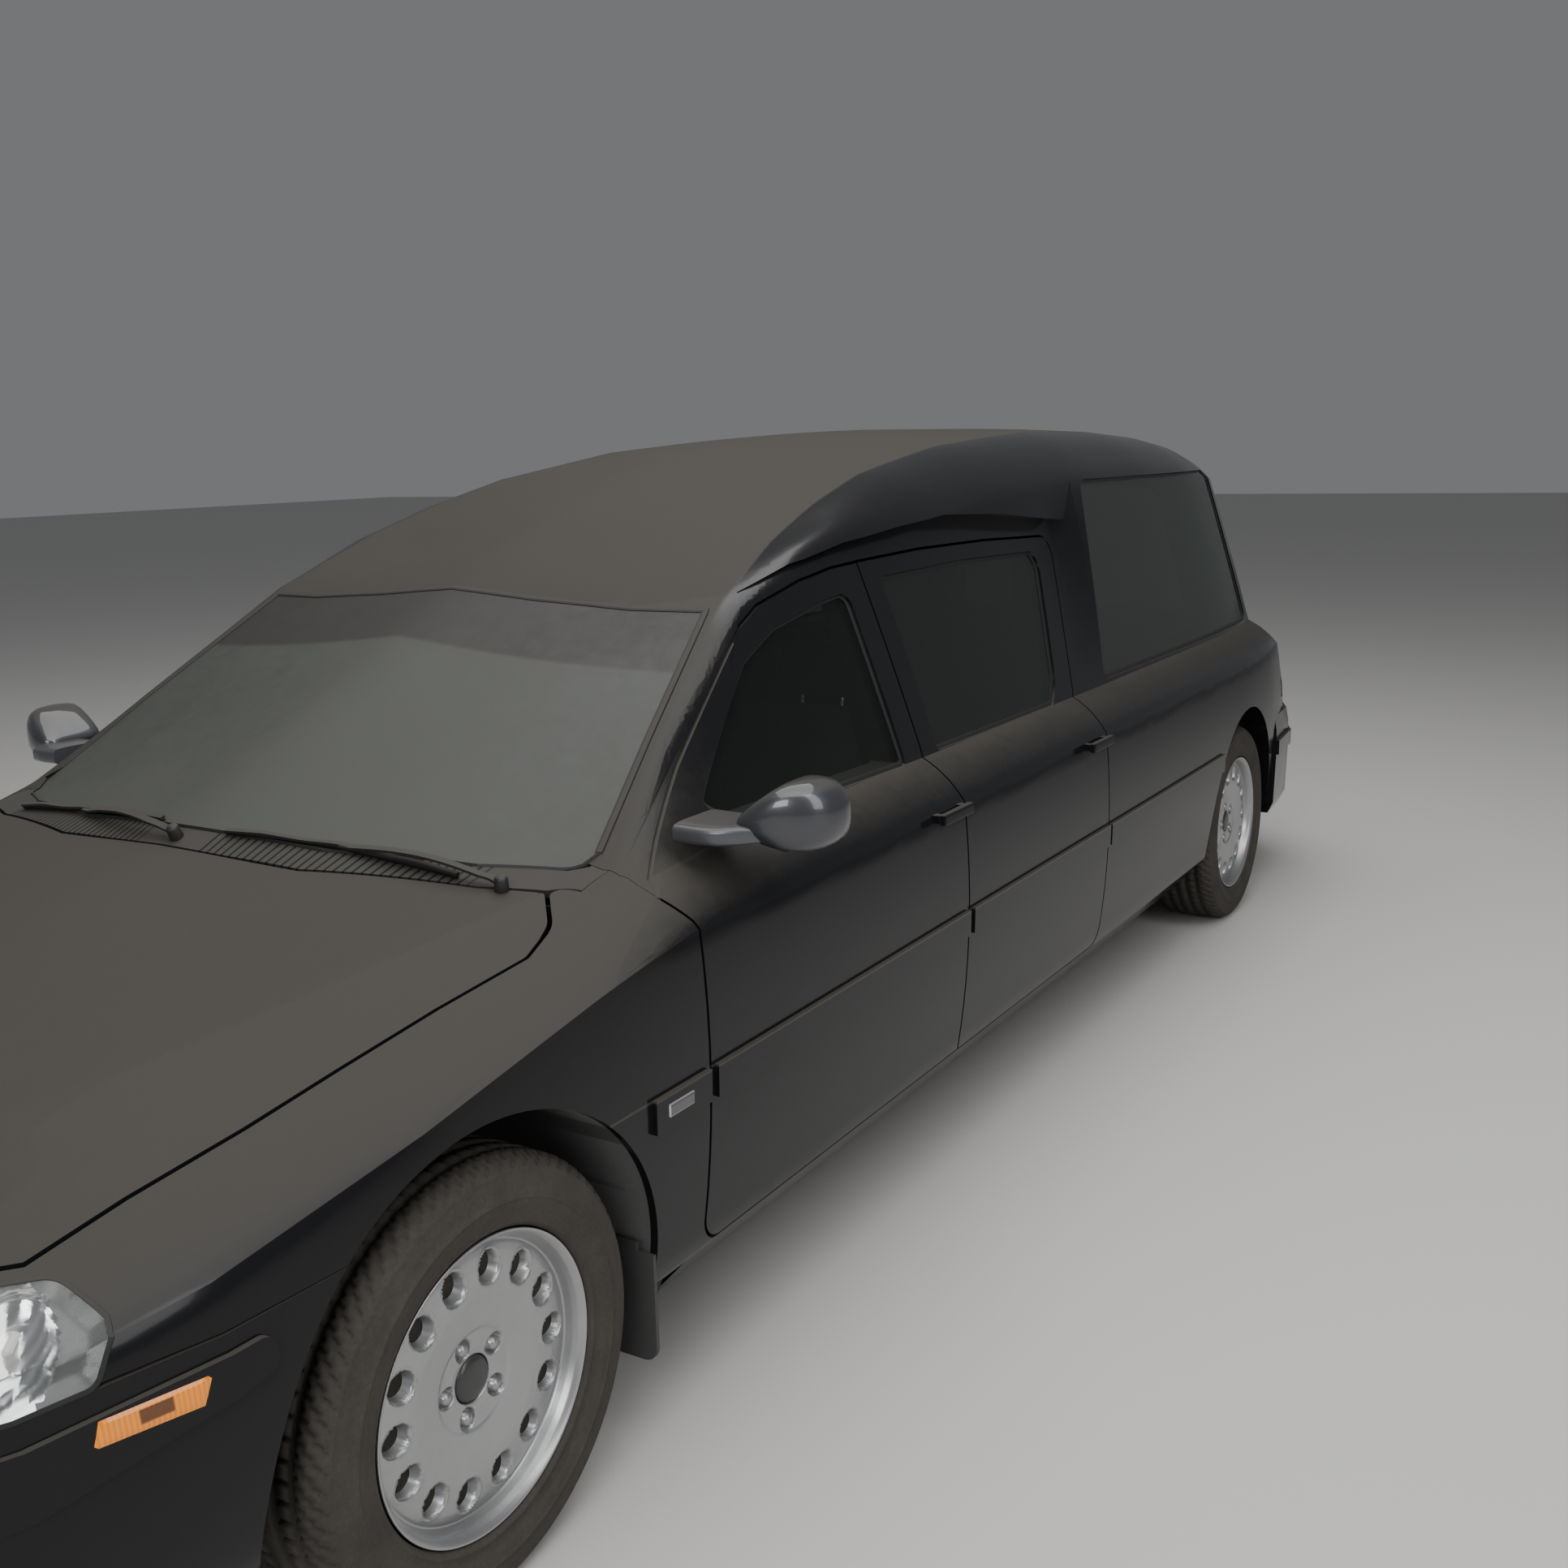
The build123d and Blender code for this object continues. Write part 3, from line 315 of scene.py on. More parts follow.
coloured = paint.mix(ledge * 0.7, coloured, DUST)
paint.set(Base_Color=paint.mix(lined.clamp(), coloured, LINING), Coat_Weight=(1.0 - dust).clamp() * 0.12)
paint.bump(paint.noise(420.0, 3.0, 0.6) * dust, 0.2, 0.0004)
for name, mesh in flowing({name: gridded(name) for name in PAINTED}).items():
    shown(name + "_panel", mesh, BODY_OF[name], paint, "paint", name)

# Window glass: a laminated windscreen, tempered panes in doors, sides and tailgate. A film of dust lies on
# it, and a fired black band runs across the windscreen's top.
GLASS_PANES = (
    # node, opacity when clean, tint, dust, outward
    ("windscreen", 0.66, (0.034, 0.040, 0.036, 1), 0.85, (1, 0, 1)),
    ("door_glass_front_left", 0.26, (0.014, 0.017, 0.015, 1), 0.25, (0, 1, 0)),
    ("door_glass_front_right", 0.26, (0.014, 0.017, 0.015, 1), 0.25, (0, -1, 0)),
    ("door_glass_rear_left", 0.72, (0.011, 0.013, 0.012, 1), 0.35, (0, 1, 0)),
    ("door_glass_rear_right", 0.72, (0.011, 0.013, 0.012, 1), 0.35, (0, -1, 0)),
    ("load_windows", 0.66, (0.026, 0.033, 0.029, 1), 0.8, (0, 1, 0)),
    ("tailgate_glass", 0.62, (0.026, 0.031, 0.028, 1), 0.8, (-1, 0, 0)),
)
GLASS_DUST = (0.062, 0.064, 0.054, 1)
SCREEN_REACH = 0.16
SEAL_WIDTH = 0.010
SEAL_PROUD = 0.0025
WINDOW_SEAL = (
    (-SEAL_WIDTH, -0.001), (-SEAL_WIDTH, SEAL_PROUD * 0.5), (-SEAL_WIDTH * 0.6, SEAL_PROUD),
    (SEAL_WIDTH * 0.3, SEAL_PROUD), (SEAL_WIDTH * 0.5, -0.001),
)
BAND_REACH, BAND_BOW = 0.83, 0.17
BAND_BLACK = (0.006, 0.006, 0.006, 1)


def borders(form, outward, least=0.25):
    """Closed loops of (place, normal) round the faces of a form that look outward."""
    outer = {face for face in form.faces if face.normal.dot(Vector(outward).normalized()) > least}
    onward = {}
    for loop in [loop for face in form.faces if face in outer for loop in face.loops]:
        if not any(other in outer for other in loop.edge.link_faces if other is not loop.face):
            onward[loop.vert] = (loop.link_loop_next.vert, loop.face.normal.copy())
    loops = []
    while onward:
        start, (vert, normal) = onward.popitem()
        ring = [(start.co.copy(), normal)]
        while vert in onward:
            following, normal = onward.pop(vert)
            ring.append((vert.co.copy(), normal))
            vert = following
        loops.append(ring)
    return loops


def swept(places, normals, section, closed=True):
    """A strip along a path: the section's (out from the path, off the surface) points at each place."""
    count = len(places)
    points = []
    for i in range(count):
        before = places[i - 1] if closed or i else places[0]
        after = places[(i + 1) % count] if closed or i < count - 1 else places[-1]
        onward = (after - before).normalized()
        off = (normals[i] - onward * normals[i].dot(onward)).normalized()
        out = onward.cross(off)
        points += [places[i] + out * a + off * b for a, b in section]
    size = len(section)
    faces = []
    for i in range(count if closed else count - 1):
        here, there = i * size, (i + 1) % count * size
        faces += [(here + j, here + (j + 1) % size, there + (j + 1) % size, there + j) for j in range(size)]
    if not closed:
        faces += [tuple(range(size))[::-1], tuple(range((count - 1) * size, count * size))]
    mesh = bpy.data.meshes.new("swept")
    mesh.from_pydata(points, [], faces)
    return mesh


def sealed(name, ring, section, body, finish, slot="trim_black"):
    places, normals = zip(*ring)
    return shown(name, swept(places, normals, section), body, finish, slot)


rubber_trim = Finish("window_rubber", Specular_IOR_Level=0.35)
dusted(rubber_trim, (0.014, 0.014, 0.0145, 1), 0.5, 0.75, 0.06)
glazing = {name: gridded(name) for name, *_ in GLASS_PANES}
skins = flowing(glazing)
skins.update(flowing({"windscreen": glazing["windscreen"]}, SCREEN_REACH))
for name, opacity, tint, cover, outward in GLASS_PANES:
    glass = Finish(name + "_dusty", IOR=1.5)
    film, _ = dusted(glass, tint, 0.04, cover, 0.10 * cover)
    coloured = glass.mix(film, tint, GLASS_DUST)
    glass.set(Base_Color=coloured)
    if name == "windscreen":
        x, y, z = glass.axes()
        band = glass.steps((FRONT_AXLE_X - x) - (y * y * BAND_BOW + BAND_REACH), -0.012, 0.012)
        film = film * (1.0 - band * 0.55)
        glass.set(Base_Color=glass.mix(band, coloured, glass.mix(film, BAND_BLACK, DUST)))
        film = (film + band).clamp()
    glass.set(Alpha=(film * (1 - opacity) + opacity).clamp())
    shown(name + "_pane", skins[name], BODY_OF[name], glass, "glass", name)
    sides = (outward, tuple(-i for i in outward)) if name == "load_windows" else (outward,)
    for side in sides:
        for i, ring in enumerate(borders(glazing[name], side)):
            if len(ring) >= 8:
                far = "_far" if side != outward else ""
                sealed(f"{name}_seal_{i}{far}", ring, WINDOW_SEAL, BODY_OF[name], rubber_trim)

# Wheels: cast alloy rims, lacquered silver, each with fourteen round scoops inside a bright lip, five
# wheel bolts in their recesses and a plain dark cap; a cast-iron brake disc shows behind the scoops.
WHEELS = (
    # corner, station behind the front axle, middle of the wheel across the car
    ("front_left", 0.0, 0.791),
    ("front_right", 0.0, -0.791),
    ("rear_left", 3.740, 0.780),
    ("rear_right", 3.740, -0.780),
)
WHEEL_HEIGHT = 0.3215
SCOOPS = 14
SCOOP_RADIUS = 0.160
SCOOP_ACROSS, SCOOP_OUTWARD = 0.0225, 0.0250
SCOOP_DEPTH = 0.030
SCOOP_LIP = 0.0022
BOLTS = 5
BOLT_RADIUS = 0.055
BOLT_SEAT = 0.0545
RECESS_RADIUS, RECESS_DEPTH = 0.016, 0.010
RIM_FACE = (
    # radius, distance out from the wheel's middle plane
    (0.0335, 0.052), (0.0350, 0.060), (0.0450, 0.062), (0.0700, 0.0635), (0.0760, 0.066), (0.1250, 0.0725),
    (0.1400, 0.0730), (0.1600, 0.0720), (0.1800, 0.0695), (0.1900, 0.0670), (0.1955, 0.0645), (0.1975, 0.0660),
    (0.2010, 0.0780), (0.2050, 0.0865), (0.2105, 0.0920), (0.2145, 0.0945), (0.2160, 0.0935), (0.2158, 0.0900),
)
# The scoops' bottoms: a flat ring, painted near-black as the shade inside the scoops (radius, distance out)
SCOOP_SHADE_FLOOR = ((0.1300, 0.0440), (0.1310, 0.0555), (0.1905, 0.0555), (0.1910, 0.0440))
RIM_BARREL = (
    (0.2020, 0.0690), (0.1985, 0.0580), (0.1960, -0.0600), (0.2020, -0.0850), (0.2160, -0.0900),
    (0.2160, -0.0945), (0.1960, -0.0900), (0.1900, -0.0600), (0.1880, 0.0300), (0.1820, 0.0420),
    (0.1300, 0.0480), (0.0800, 0.0400), (0.0700, 0.0200), (0.0335, 0.0180),
)


def lathed(name, rings, centre, side, segments, shape=None, closed=False):
    """A turned mesh about an axle: rings of (radius, distance out), shaped by the angle."""
    points, faces = [], []
    turns = [2 * math.pi * i / segments for i in range(segments)]
    for radius, out in rings:
        for angle in turns:
            away = out + (shape(radius, angle) if shape else 0.0)
            points.append((
                centre[0] + radius * math.cos(angle),
                centre[1] + side * away,
                centre[2] + radius * math.sin(angle),
            ))
    count = len(rings)
    for i in range(count if closed else count - 1):
        j = (i + 1) % count
        for k in range(segments):
            m = (k + 1) % segments
            quad = (i * segments + k, j * segments + k, j * segments + m, i * segments + m)
            faces.append(quad if side > 0 else quad[::-1])
    mesh = bpy.data.meshes.new(name)
    mesh.from_pydata(points, [], faces)
    return smooth(mesh)


def turned(rings, segments, placed=None, closed=False):
    """A small turned part about its own axis, Y, then put in its place."""
    mesh = lathed("turned", rings, (0, 0, 0), 1, segments, closed=closed)
    if placed:
        mesh.transform(placed)
    return mesh


def filled(rings, step):
    """Rings no more than a step apart along a profile."""
    dense = [rings[0]]
    for (r0, w0), (r1, w1) in zip(rings, rings[1:]):
        parts = max(1, math.ceil(math.hypot(r1 - r0, w1 - w0) / step))
        dense += [(r0 + (r1 - r0) * k / parts, w0 + (w1 - w0) * k / parts) for k in range(1, parts + 1)]
    return dense


def from_nearest(angle, count):
    """The angle to the nearest of a number of like things round the wheel."""
    pitch = 2 * math.pi / count
    return (angle + pitch / 2) % pitch - pitch / 2


def face_depth(radius, angle):
    """How far the rim's face stands out: a lip about each scoop, the scoop's dish, the bolts' recesses."""
    scoop = math.hypot(from_nearest(angle, SCOOPS) * radius / SCOOP_ACROSS, (radius - SCOOP_RADIUS) / SCOOP_OUTWARD)
    bolt = math.hypot(from_nearest(angle, BOLTS) * radius, radius - BOLT_RADIUS)
    depth = 0.0
    if scoop < 1.12:
        lip = SCOOP_LIP * math.exp(-((scoop - 1.04) / 0.05) ** 2)
        depth += lip - SCOOP_DEPTH * (1 - min(scoop, 1.0) ** 2.6)
    if bolt < RECESS_RADIUS:
        depth -= RECESS_DEPTH * min(1.0, (RECESS_RADIUS - bolt) / 0.003)
    return depth


def mottled(finish, spots, dark, light, rough, spread):
    """Colour and gloss that vary together."""
    finish.set(Base_Color=finish.mix(spots, (*dark, 1), (*light, 1)), Roughness=spots * spread + rough)


silver = Finish("silver_lacquer", Metallic=0.85, Coat_Weight=0.35, Coat_Roughness=0.12)
dusted(silver, (0.46, 0.465, 0.475, 1), 0.26, 0.35, 0.16)
silver.bump(silver.noise(900.0, 2.0), 0.06, 0.0002)
rim_back = Finish("rim_back", Metallic=0.6)
dusted(rim_back, (0.10, 0.10, 0.10, 1), 0.5, 0.5, 0.5)
# Painted shade: near-black for the dark inside of the scoops, lightly dusted
scoop_shade_paint = Finish("scoop_painted_shade", Specular_IOR_Level=0.2)
dusted(scoop_shade_paint, (0.008, 0.007, 0.006, 1), 0.7, 0.5, 0.6)
cap_black = Finish("dark_cap", Coat_Weight=0.3)
dusted(cap_black, (0.022, 0.022, 0.024, 1), 0.3, 0.4, 0.15)
bolt_steel = Finish("bolt_steel", Metallic=0.8)
dusted(bolt_steel, (0.42, 0.42, 0.43, 1), 0.25, 0.4, 0.15)
disc_iron = Finish("disc_iron", Metallic=0.7)
mottled(disc_iron, disc_iron.noise(260.0, 2.0), (0.10, 0.085, 0.07), (0.20, 0.19, 0.18), 0.35, 0.3)
CAP = (
    (0.0001, 0.0650), (0.0120, 0.0648), (0.0240, 0.0635), (0.0310, 0.0610), (0.0330, 0.0580), (0.0332, 0.0500),
)
BRAKE_DISC = (
    (0.0350, 0.0150), (0.0750, 0.0150), (0.0760, 0.0050), (0.1350, 0.0050), (0.1360, 0.0040), (0.1360, -0.0180),
    (0.1350, -0.0190), (0.0350, -0.0190),
)
BOLT = (
    (0.0001, 0.0130), (0.0040, 0.0126), (0.0070, 0.0108), (0.0092, 0.0080), (0.0096, 0.0), (0.0120, -0.0002),
)
for corner, station, across in WHEELS:
    side = math.copysign(1, across)
    hub = (FRONT_AXLE_X - station, across, WHEEL_HEIGHT)
    wheel = "wheel_" + corner
    face = lathed("rim", filled(RIM_FACE, 0.003), hub, side, SCOOPS * 24, face_depth)
    shown("rim_face_" + corner, face, wheel, silver, "rim", "rim_" + corner)
    barrel = lathed("barrel", filled(RIM_BARREL, 0.02), hub, side, SCOOPS * 8)
    shown("rim_barrel_" + corner, barrel, wheel, rim_back, "rim")
    # A near-black ring behind the scoops' dishes: painted shade for their dark insides
    painted_shade_ring = lathed("painted_shade_ring", SCOOP_SHADE_FLOOR, hub, side, SCOOPS * 8)
    shown("scoop_shade_floor_" + corner, painted_shade_ring, wheel, scoop_shade_paint, "rim")
    shown("cap_" + corner, lathed("cap", CAP, hub, side, 64), wheel, cap_black, "rim")
    disc = lathed("disc", filled(BRAKE_DISC, 0.01), hub, side, 96, closed=True)
    shown("brake_disc_" + corner, disc, wheel, disc_iron, "rim")
    for i in range(BOLTS):
        turn = 2 * math.pi * i / BOLTS
        place = (
            hub[0] + BOLT_RADIUS * math.cos(turn), hub[1] + side * BOLT_SEAT, hub[2] + BOLT_RADIUS * math.sin(turn))
        shown(f"wheel_bolt_{corner}_{i}", lathed("bolt", BOLT, place, side, 24), wheel, bolt_steel, "rim")

# Road tyres: black rubber with plain side walls, a raised bead ring and scuff rib, and a tread of four
# grooves with cross cuts. They are brown with road dust.
TYRE_WALL = (
    # radius, half the width there
    (0.2175, 0.0860), (0.2190, 0.0925), (0.2230, 0.0965), (0.2250, 0.0985), (0.2280, 0.0990), (0.2300, 0.0975),
    (0.2420, 0.1030), (0.2560, 0.1062), (0.2600, 0.1066), (0.2608, 0.1074), (0.2640, 0.1074), (0.2648, 0.1062),
    (0.2780, 0.1050), (0.2900, 0.1020), (0.2980, 0.0990), (0.3000, 0.0992), (0.3030, 0.0975), (0.3080, 0.0935),
    (0.3120, 0.0895), (0.3150, 0.0850), (0.3180, 0.0780),
)
TREAD_RADIUS = 0.3210
TREAD_CROWN = 0.15
GROOVES = (-0.050, -0.017, 0.017, 0.050)
GROOVE_HALF = 0.0045
GROOVE_DEPTH = 0.006
CROSS_CUTS = 72
CUT_DEPTH = 0.0045
GROOVE_EDGES = [groove + edge for groove in reversed(GROOVES) for edge in (0.0052, 0.0045, -0.0045, -0.0052)]
TREAD = [(TREAD_RADIUS - TREAD_CROWN * w * w, w) for w in (0.074, 0.066, *GROOVE_EDGES, -0.066, -0.074)]
FAR_WALL = [(radius, -half) for radius, half in reversed(TYRE_WALL)]
TYRE_RINGS = [*TYRE_WALL, *TREAD, *FAR_WALL, (0.2172, -0.0800), (0.2172, 0.0800)]


def tread_depth(radius, out, angle):
    for groove in GROOVES:
        if abs(out - groove) < GROOVE_HALF + 0.0001:
            return GROOVE_DEPTH
    slant = angle + out * 4.0
    cut = abs(from_nearest(slant, CROSS_CUTS)) < 2 * math.pi / CROSS_CUTS * 0.11
    return CUT_DEPTH if cut and 0.022 < abs(out) < 0.100 and radius > 0.3075 else 0.0


def tyre(centre, side, segments=CROSS_CUTS * 8):
    mesh = lathed("tyre", TYRE_RINGS, centre, side, segments, closed=True)
    for i, (radius, out) in enumerate(TYRE_RINGS):
        for k in range(segments):
            angle = 2 * math.pi * k / segments
            depth = tread_depth(radius, out, angle)
            if depth:
                vert = mesh.vertices[i * segments + k]
                share = (radius - depth) / radius
                vert.co.x = centre[0] + (vert.co.x - centre[0]) * share
                vert.co.z = centre[2] + (vert.co.z - centre[2]) * share
    return mesh


rubber = Finish("dusty_rubber", Specular_IOR_Level=0.25)
cake = (rubber.noise(9.0, 5.0, 0.6) * 0.8 + rubber.noise(160.0, 4.0, 0.7) * 0.6 - 0.25).clamp()
mottled(rubber, cake, (0.020, 0.019, 0.018), (0.088, 0.078, 0.066), 0.72, 0.2)
rubber.bump(rubber.noise(700.0, 3.0, 0.7), 0.25, 0.0005)
for corner, station, across in WHEELS:
    mesh = tyre((FRONT_AXLE_X - station, across, WHEEL_HEIGHT), math.copysign(1, across))
    shown("tyre_tread_" + corner, mesh, "wheel_" + corner, rubber, "tyre", "tyre_" + corner)

# Door mirrors: a smooth oval shell moulded in dark metallic plastic with a flat glass in its back, on a
# short foot screwed to the corner of the door.
MIRROR_RINGS = (
    # station behind the front axle, inner y, outer y, low z, high z
    (0.6500, 0.918, 0.932, 0.975, 0.996),
    (0.6530, 0.914, 0.944, 0.963, 1.008),
    (0.6600, 0.910, 0.962, 0.950, 1.022),
    (0.6720, 0.907, 0.985, 0.938, 1.033),
    (0.6880, 0.906, 1.006, 0.931, 1.040),
    (0.7100, 0.905, 1.024, 0.927, 1.044),
    (0.7350, 0.905, 1.034, 0.925, 1.045),
    (0.7600, 0.905, 1.037, 0.925, 1.045),
    (0.7800, 0.907, 1.037, 0.927, 1.043),
    (0.7870, 0.911, 1.033, 0.931, 1.039),
    (0.7880, 0.917, 1.027, 0.937, 1.033),
    (0.7760, 0.919, 1.025, 0.939, 1.031),
)
MIRROR_FOOT_RINGS = (
    # y, front station, rear station, low z, high z
    (0.800, 0.604, 0.742, 0.944, 0.980),
    (0.846, 0.604, 0.742, 0.944, 0.979),
    (0.880, 0.610, 0.742, 0.944, 0.978),
    (0.912, 0.640, 0.741, 0.945, 0.977),
    (0.936, 0.662, 0.738, 0.947, 0.974),
)
TAPER_FROM, TAPER_LENGTH, TAPER_REACH, TAPER_HEIGHT = 0.965, 0.060, 0.026, 0.962
SIDES = (("left", 1), ("right", -1))


def at(station, across, height):
    """A place given by its distance behind the front axle."""
    return Vector((FRONT_AXLE_X - station, across, height))


def oval(middle, across, along, power=2.6, count=40):
    """A ring of points, rounder than a rectangle and fuller than an ellipse."""
    ring = []
    for i in range(count):
        angle = 2 * math.pi * (i + 0.5) / count
        c, s = math.cos(angle), math.sin(angle)
        ring.append(middle + across * math.copysign(abs(c) ** (2 / power), c)
                    + along * math.copysign(abs(s) ** (2 / power), s))
    return ring


def lofted(name, rings):
    """A closed form through rings of as many points each, with its edges kept sharp."""
    size = len(rings[0])
    faces = []
    for i in range(len(rings) - 1):
        here, there = i * size, (i + 1) * size
        faces += [(here + j, here + (j + 1) % size, there + (j + 1) % size, there + j) for j in range(size)]
    faces += [tuple(range(size))[::-1], tuple(range((len(rings) - 1) * size, len(rings) * size))]
    mesh = bpy.data.meshes.new(name)
    mesh.from_pydata([point for ring in rings for point in ring], [], faces)
    form = bmesh.new()
    form.from_mesh(smooth(mesh))
    bmesh.ops.recalc_face_normals(form, faces=form.faces)
    for edge in form.edges:
        edge.smooth = edge.calc_face_angle(0.0) < math.radians(38)
    form.to_mesh(mesh)
    form.free()
    return mesh


metallic = Finish("mirror_metallic", Metallic=0.55, Coat_Weight=0.8, Coat_Roughness=0.05)
dusted(metallic, (0.062, 0.064, 0.074, 1), 0.30, 0.9, 0.05)
foot_grey = Finish("mirror_foot", Metallic=0.5, Coat_Weight=0.4)
dusted(foot_grey, (0.105, 0.108, 0.120, 1), 0.34, 0.8, 0.08)
silvered = Finish("silvered_glass", Metallic=1.0, Base_Color=(0.62, 0.64, 0.65, 1))
silvered.set(Roughness=silvered.noise(40.0, 6.0) * 0.18)
for name, side in SIDES:
    door = "door_front_" + name
    rings = [
        oval(at(s, side * (y0 + y1) / 2, (z0 + z1) / 2),
             Vector((0, side * (y1 - y0) / 2, 0)), Vector((0, 0, (z1 - z0) / 2)))
        for s, y0, y1, z0, z1 in MIRROR_RINGS]
    shell = lofted("shell", rings)
    for vert in shell.vertices:
        share = min(1.0, max(0.0, (TAPER_FROM - abs(vert.co.y)) / TAPER_LENGTH))
        vert.co.y -= side * TAPER_REACH * share ** 2
        vert.co.z += (TAPER_HEIGHT - vert.co.z) * 0.55 * share ** 1.5
    shown("mirror_shell_" + name, shell, door, metallic, "paint", "mirror_" + name)
    s, y0, y1, z0, z1 = MIRROR_RINGS[-1]
    pane = [
        oval(at(s + out, side * (y0 + y1) / 2, (z0 + z1) / 2),
             Vector((0, side * (y1 - y0) / 2 - inset, 0)), Vector((0, 0, (z1 - z0) / 2 - inset)))
        for out, inset in ((0.0005, 0.0015), (0.0035, 0.0015), (0.0042, 0.003))]
    shown("mirror_glass_" + name, lofted("pane", pane), door, silvered, "glass")
    rings = [
        oval(at((s0 + s1) / 2, side * y, (z0 + z1) / 2),
             Vector(((s1 - s0) / 2, 0, 0)), Vector((0, 0, (z1 - z0) / 2)), 5.0)
        for y, s0, s1, z0, z1 in MIRROR_FOOT_RINGS]
    shown("mirror_foot_" + name, lofted("foot", rings), door, foot_grey, "paint")

# Headlamps: a clear moulded lens over one bright moulded reflector that dips into three round bowls a side,
# each about its own bulb; a black lip seals the lens to the wing.
BOWLS = (
    # station, distance from the middle, height, radius, turned outward
    (-0.838, 0.500, 0.656, 0.048, 0),
    (-0.765, 0.630, 0.656, 0.048, 22),
    (-0.600, 0.757, 0.656, 0.056, 42),
)
BOWL_DEPTH = 0.85
BULB = ((0.0001, -0.30), (0.04, -0.31), (0.08, -0.36), (0.09, -0.42), (0.10, -0.88), (0.15, -0.90))
REFLECTOR_STEP = 0.006
REFLECTOR_GAP = 0.012
LAMP_SEAL = ((-0.003, -0.001), (-0.003, 0.0008), (0.0025, 0.0008), (0.0035, -0.001))
clear_lens = Finish("clear_lens", IOR=1.45, Coat_Weight=0.5, Coat_Roughness=0.02)
film, _ = dusted(clear_lens, (0.16, 0.17, 0.165, 1), 0.05, 0.5, 0.06)
clear_lens.set(Alpha=(film * 0.5 + 0.10).clamp())
reflector = Finish("bright_reflector", Metallic=1.0)
x, y, z = reflector.axes()
flutes = (y * 420.0).math("SINE") * 0.5 + 0.5
reflector.set(Roughness=flutes * 0.12 + 0.10,
              Base_Color=reflector.mix(flutes, (0.70, 0.71, 0.72, 1), (0.86, 0.87, 0.88, 1)))
reflector.bump(flutes, 0.15, 0.0008)
bezel = Finish("lamp_bezel", Metallic=0.6, Base_Color=(0.115, 0.122, 0.118, 1))
bezel.set(Roughness=bezel.noise(60.0) * 0.10 + 0.34)
bulb_glass = Finish("bulb_glass", Base_Color=(0.80, 0.78, 0.72, 1))
bulb_glass.set(Roughness=bulb_glass.noise(300.0) * 0.1 + 0.05)


def clear_part(form):
    """Keeps the faces of the lamp's form that look forward or up: the lens."""
    hidden = [face for face in form.faces if face.normal.x <= 0.12 and face.normal.z <= 0.55]
    bmesh.ops.delete(form, geom=hidden, context="FACES")
    form.faces.ensure_lookup_table()
    form.verts.index_update()
    form.faces.index_update()
    return form


def tree_of(places):
    tree = KDTree(len(places))
    for i, place in enumerate(places):
        tree.insert(place, i)
    tree.balance()
    return tree


lamp_form = gridded("headlamps", 0.04)
lamp_rings = [ring for ring in borders(lamp_form, (1, 0, 0.5), 0.1) if len(ring) > 20]
lens_mesh = flowing({"headlamps": clear_part(lamp_form)})["headlamps"]
shown("headlamp_lenses", lens_mesh, "body", clear_lens, "lamp", "headlamps")
for i, ring in enumerate(lamp_rings):
    sealed(f"headlamp_seal_{i}", ring, LAMP_SEAL, "body", rubber_trim)
back = clear_part(gridded("headlamps", REFLECTOR_STEP))
around = tree_of([face.calc_center_median() for face in back.faces])
edge = tree_of([vert.co.copy() for vert in back.verts if vert.is_boundary])
bowls = [
    (at(station, side * y, z), Vector((math.cos(math.radians(turn)), side * math.sin(math.radians(turn)), 0)), radius)
    for _, side in SIDES for station, y, z, radius, turn in BOWLS]


def bowl_at(place):
    """Which bowl a point of the reflector lies in, and how far out in it, from 0 to 1."""
    for i, (centre, axis, radius) in enumerate(bowls):
        away = place - centre
        share = (away - axis * away.dot(axis)).length / radius
        if share < 1 and abs(away.dot(axis)) < 0.15:
            return i, share
    return None, 1.0


in_bowl = [bowl_at(face.calc_center_median())[0] is not None for face in back.faces]
places = []
for vert in back.verts:
    ahead = Vector((0, 0, 0))
    for _, i, _ in around.find_range(vert.co, 0.03):
        ahead += back.faces[i].normal * back.faces[i].calc_area()
    near_edge = min(1.0, edge.find(vert.co)[2] / 0.02)
    place = vert.co - ahead.normalized() * (0.002 + REFLECTOR_GAP * near_edge)
    i, share = bowl_at(vert.co)
    if i is not None:
        place -= bowls[i][1] * bowls[i][2] * BOWL_DEPTH * (1 - share ** 2) * near_edge
    places.append(place)
for vert, place in zip(back.verts, places):
    vert.co = place
for name, bright, finish in (("headlamp_bezels", False, bezel), ("headlamp_bowls", True, reflector)):
    part = back.copy()
    bmesh.ops.delete(part, geom=[face for face in part.faces if in_bowl[face.index] != bright], context="FACES")
    shown(name, smooth(skin_of(name, part)), "body", finish, "lamp")
floor_of = BVHTree.FromBMesh(back)
for i, (centre, axis, radius) in enumerate(bowls):
    bottom = floor_of.ray_cast(centre + axis * 0.2, -axis)[0]
    placed = Matrix.Translation(bottom + axis * radius * BOWL_DEPTH) @ Matrix.Rotation(
        math.atan2(axis.y, axis.x) - math.pi / 2, 4, "Z")
    bulb = turned([(r * radius, w * radius) for r, w in BULB], 32, placed)
    shown(f"headlamp_bulb_{i}", bulb, "body", bulb_glass, "lamp")

# Direction markers: amber lenses let into the bumper's raised band at each front corner, with the bulb
# holder behind showing in the middle as a darker patch painted on the lens: the holder and its painted shadow.
MARKER = ((-0.580, 0.551), (-0.569, 0.583), (-0.441, 0.583), (-0.456, 0.547))
MARKER_PROUD = 0.002


def surface(name):
    mesh = frame["nodes"][name].data
    return BVHTree.FromPolygons([vert.co for vert in mesh.vertices], [face.vertices[:] for face in mesh.polygons])


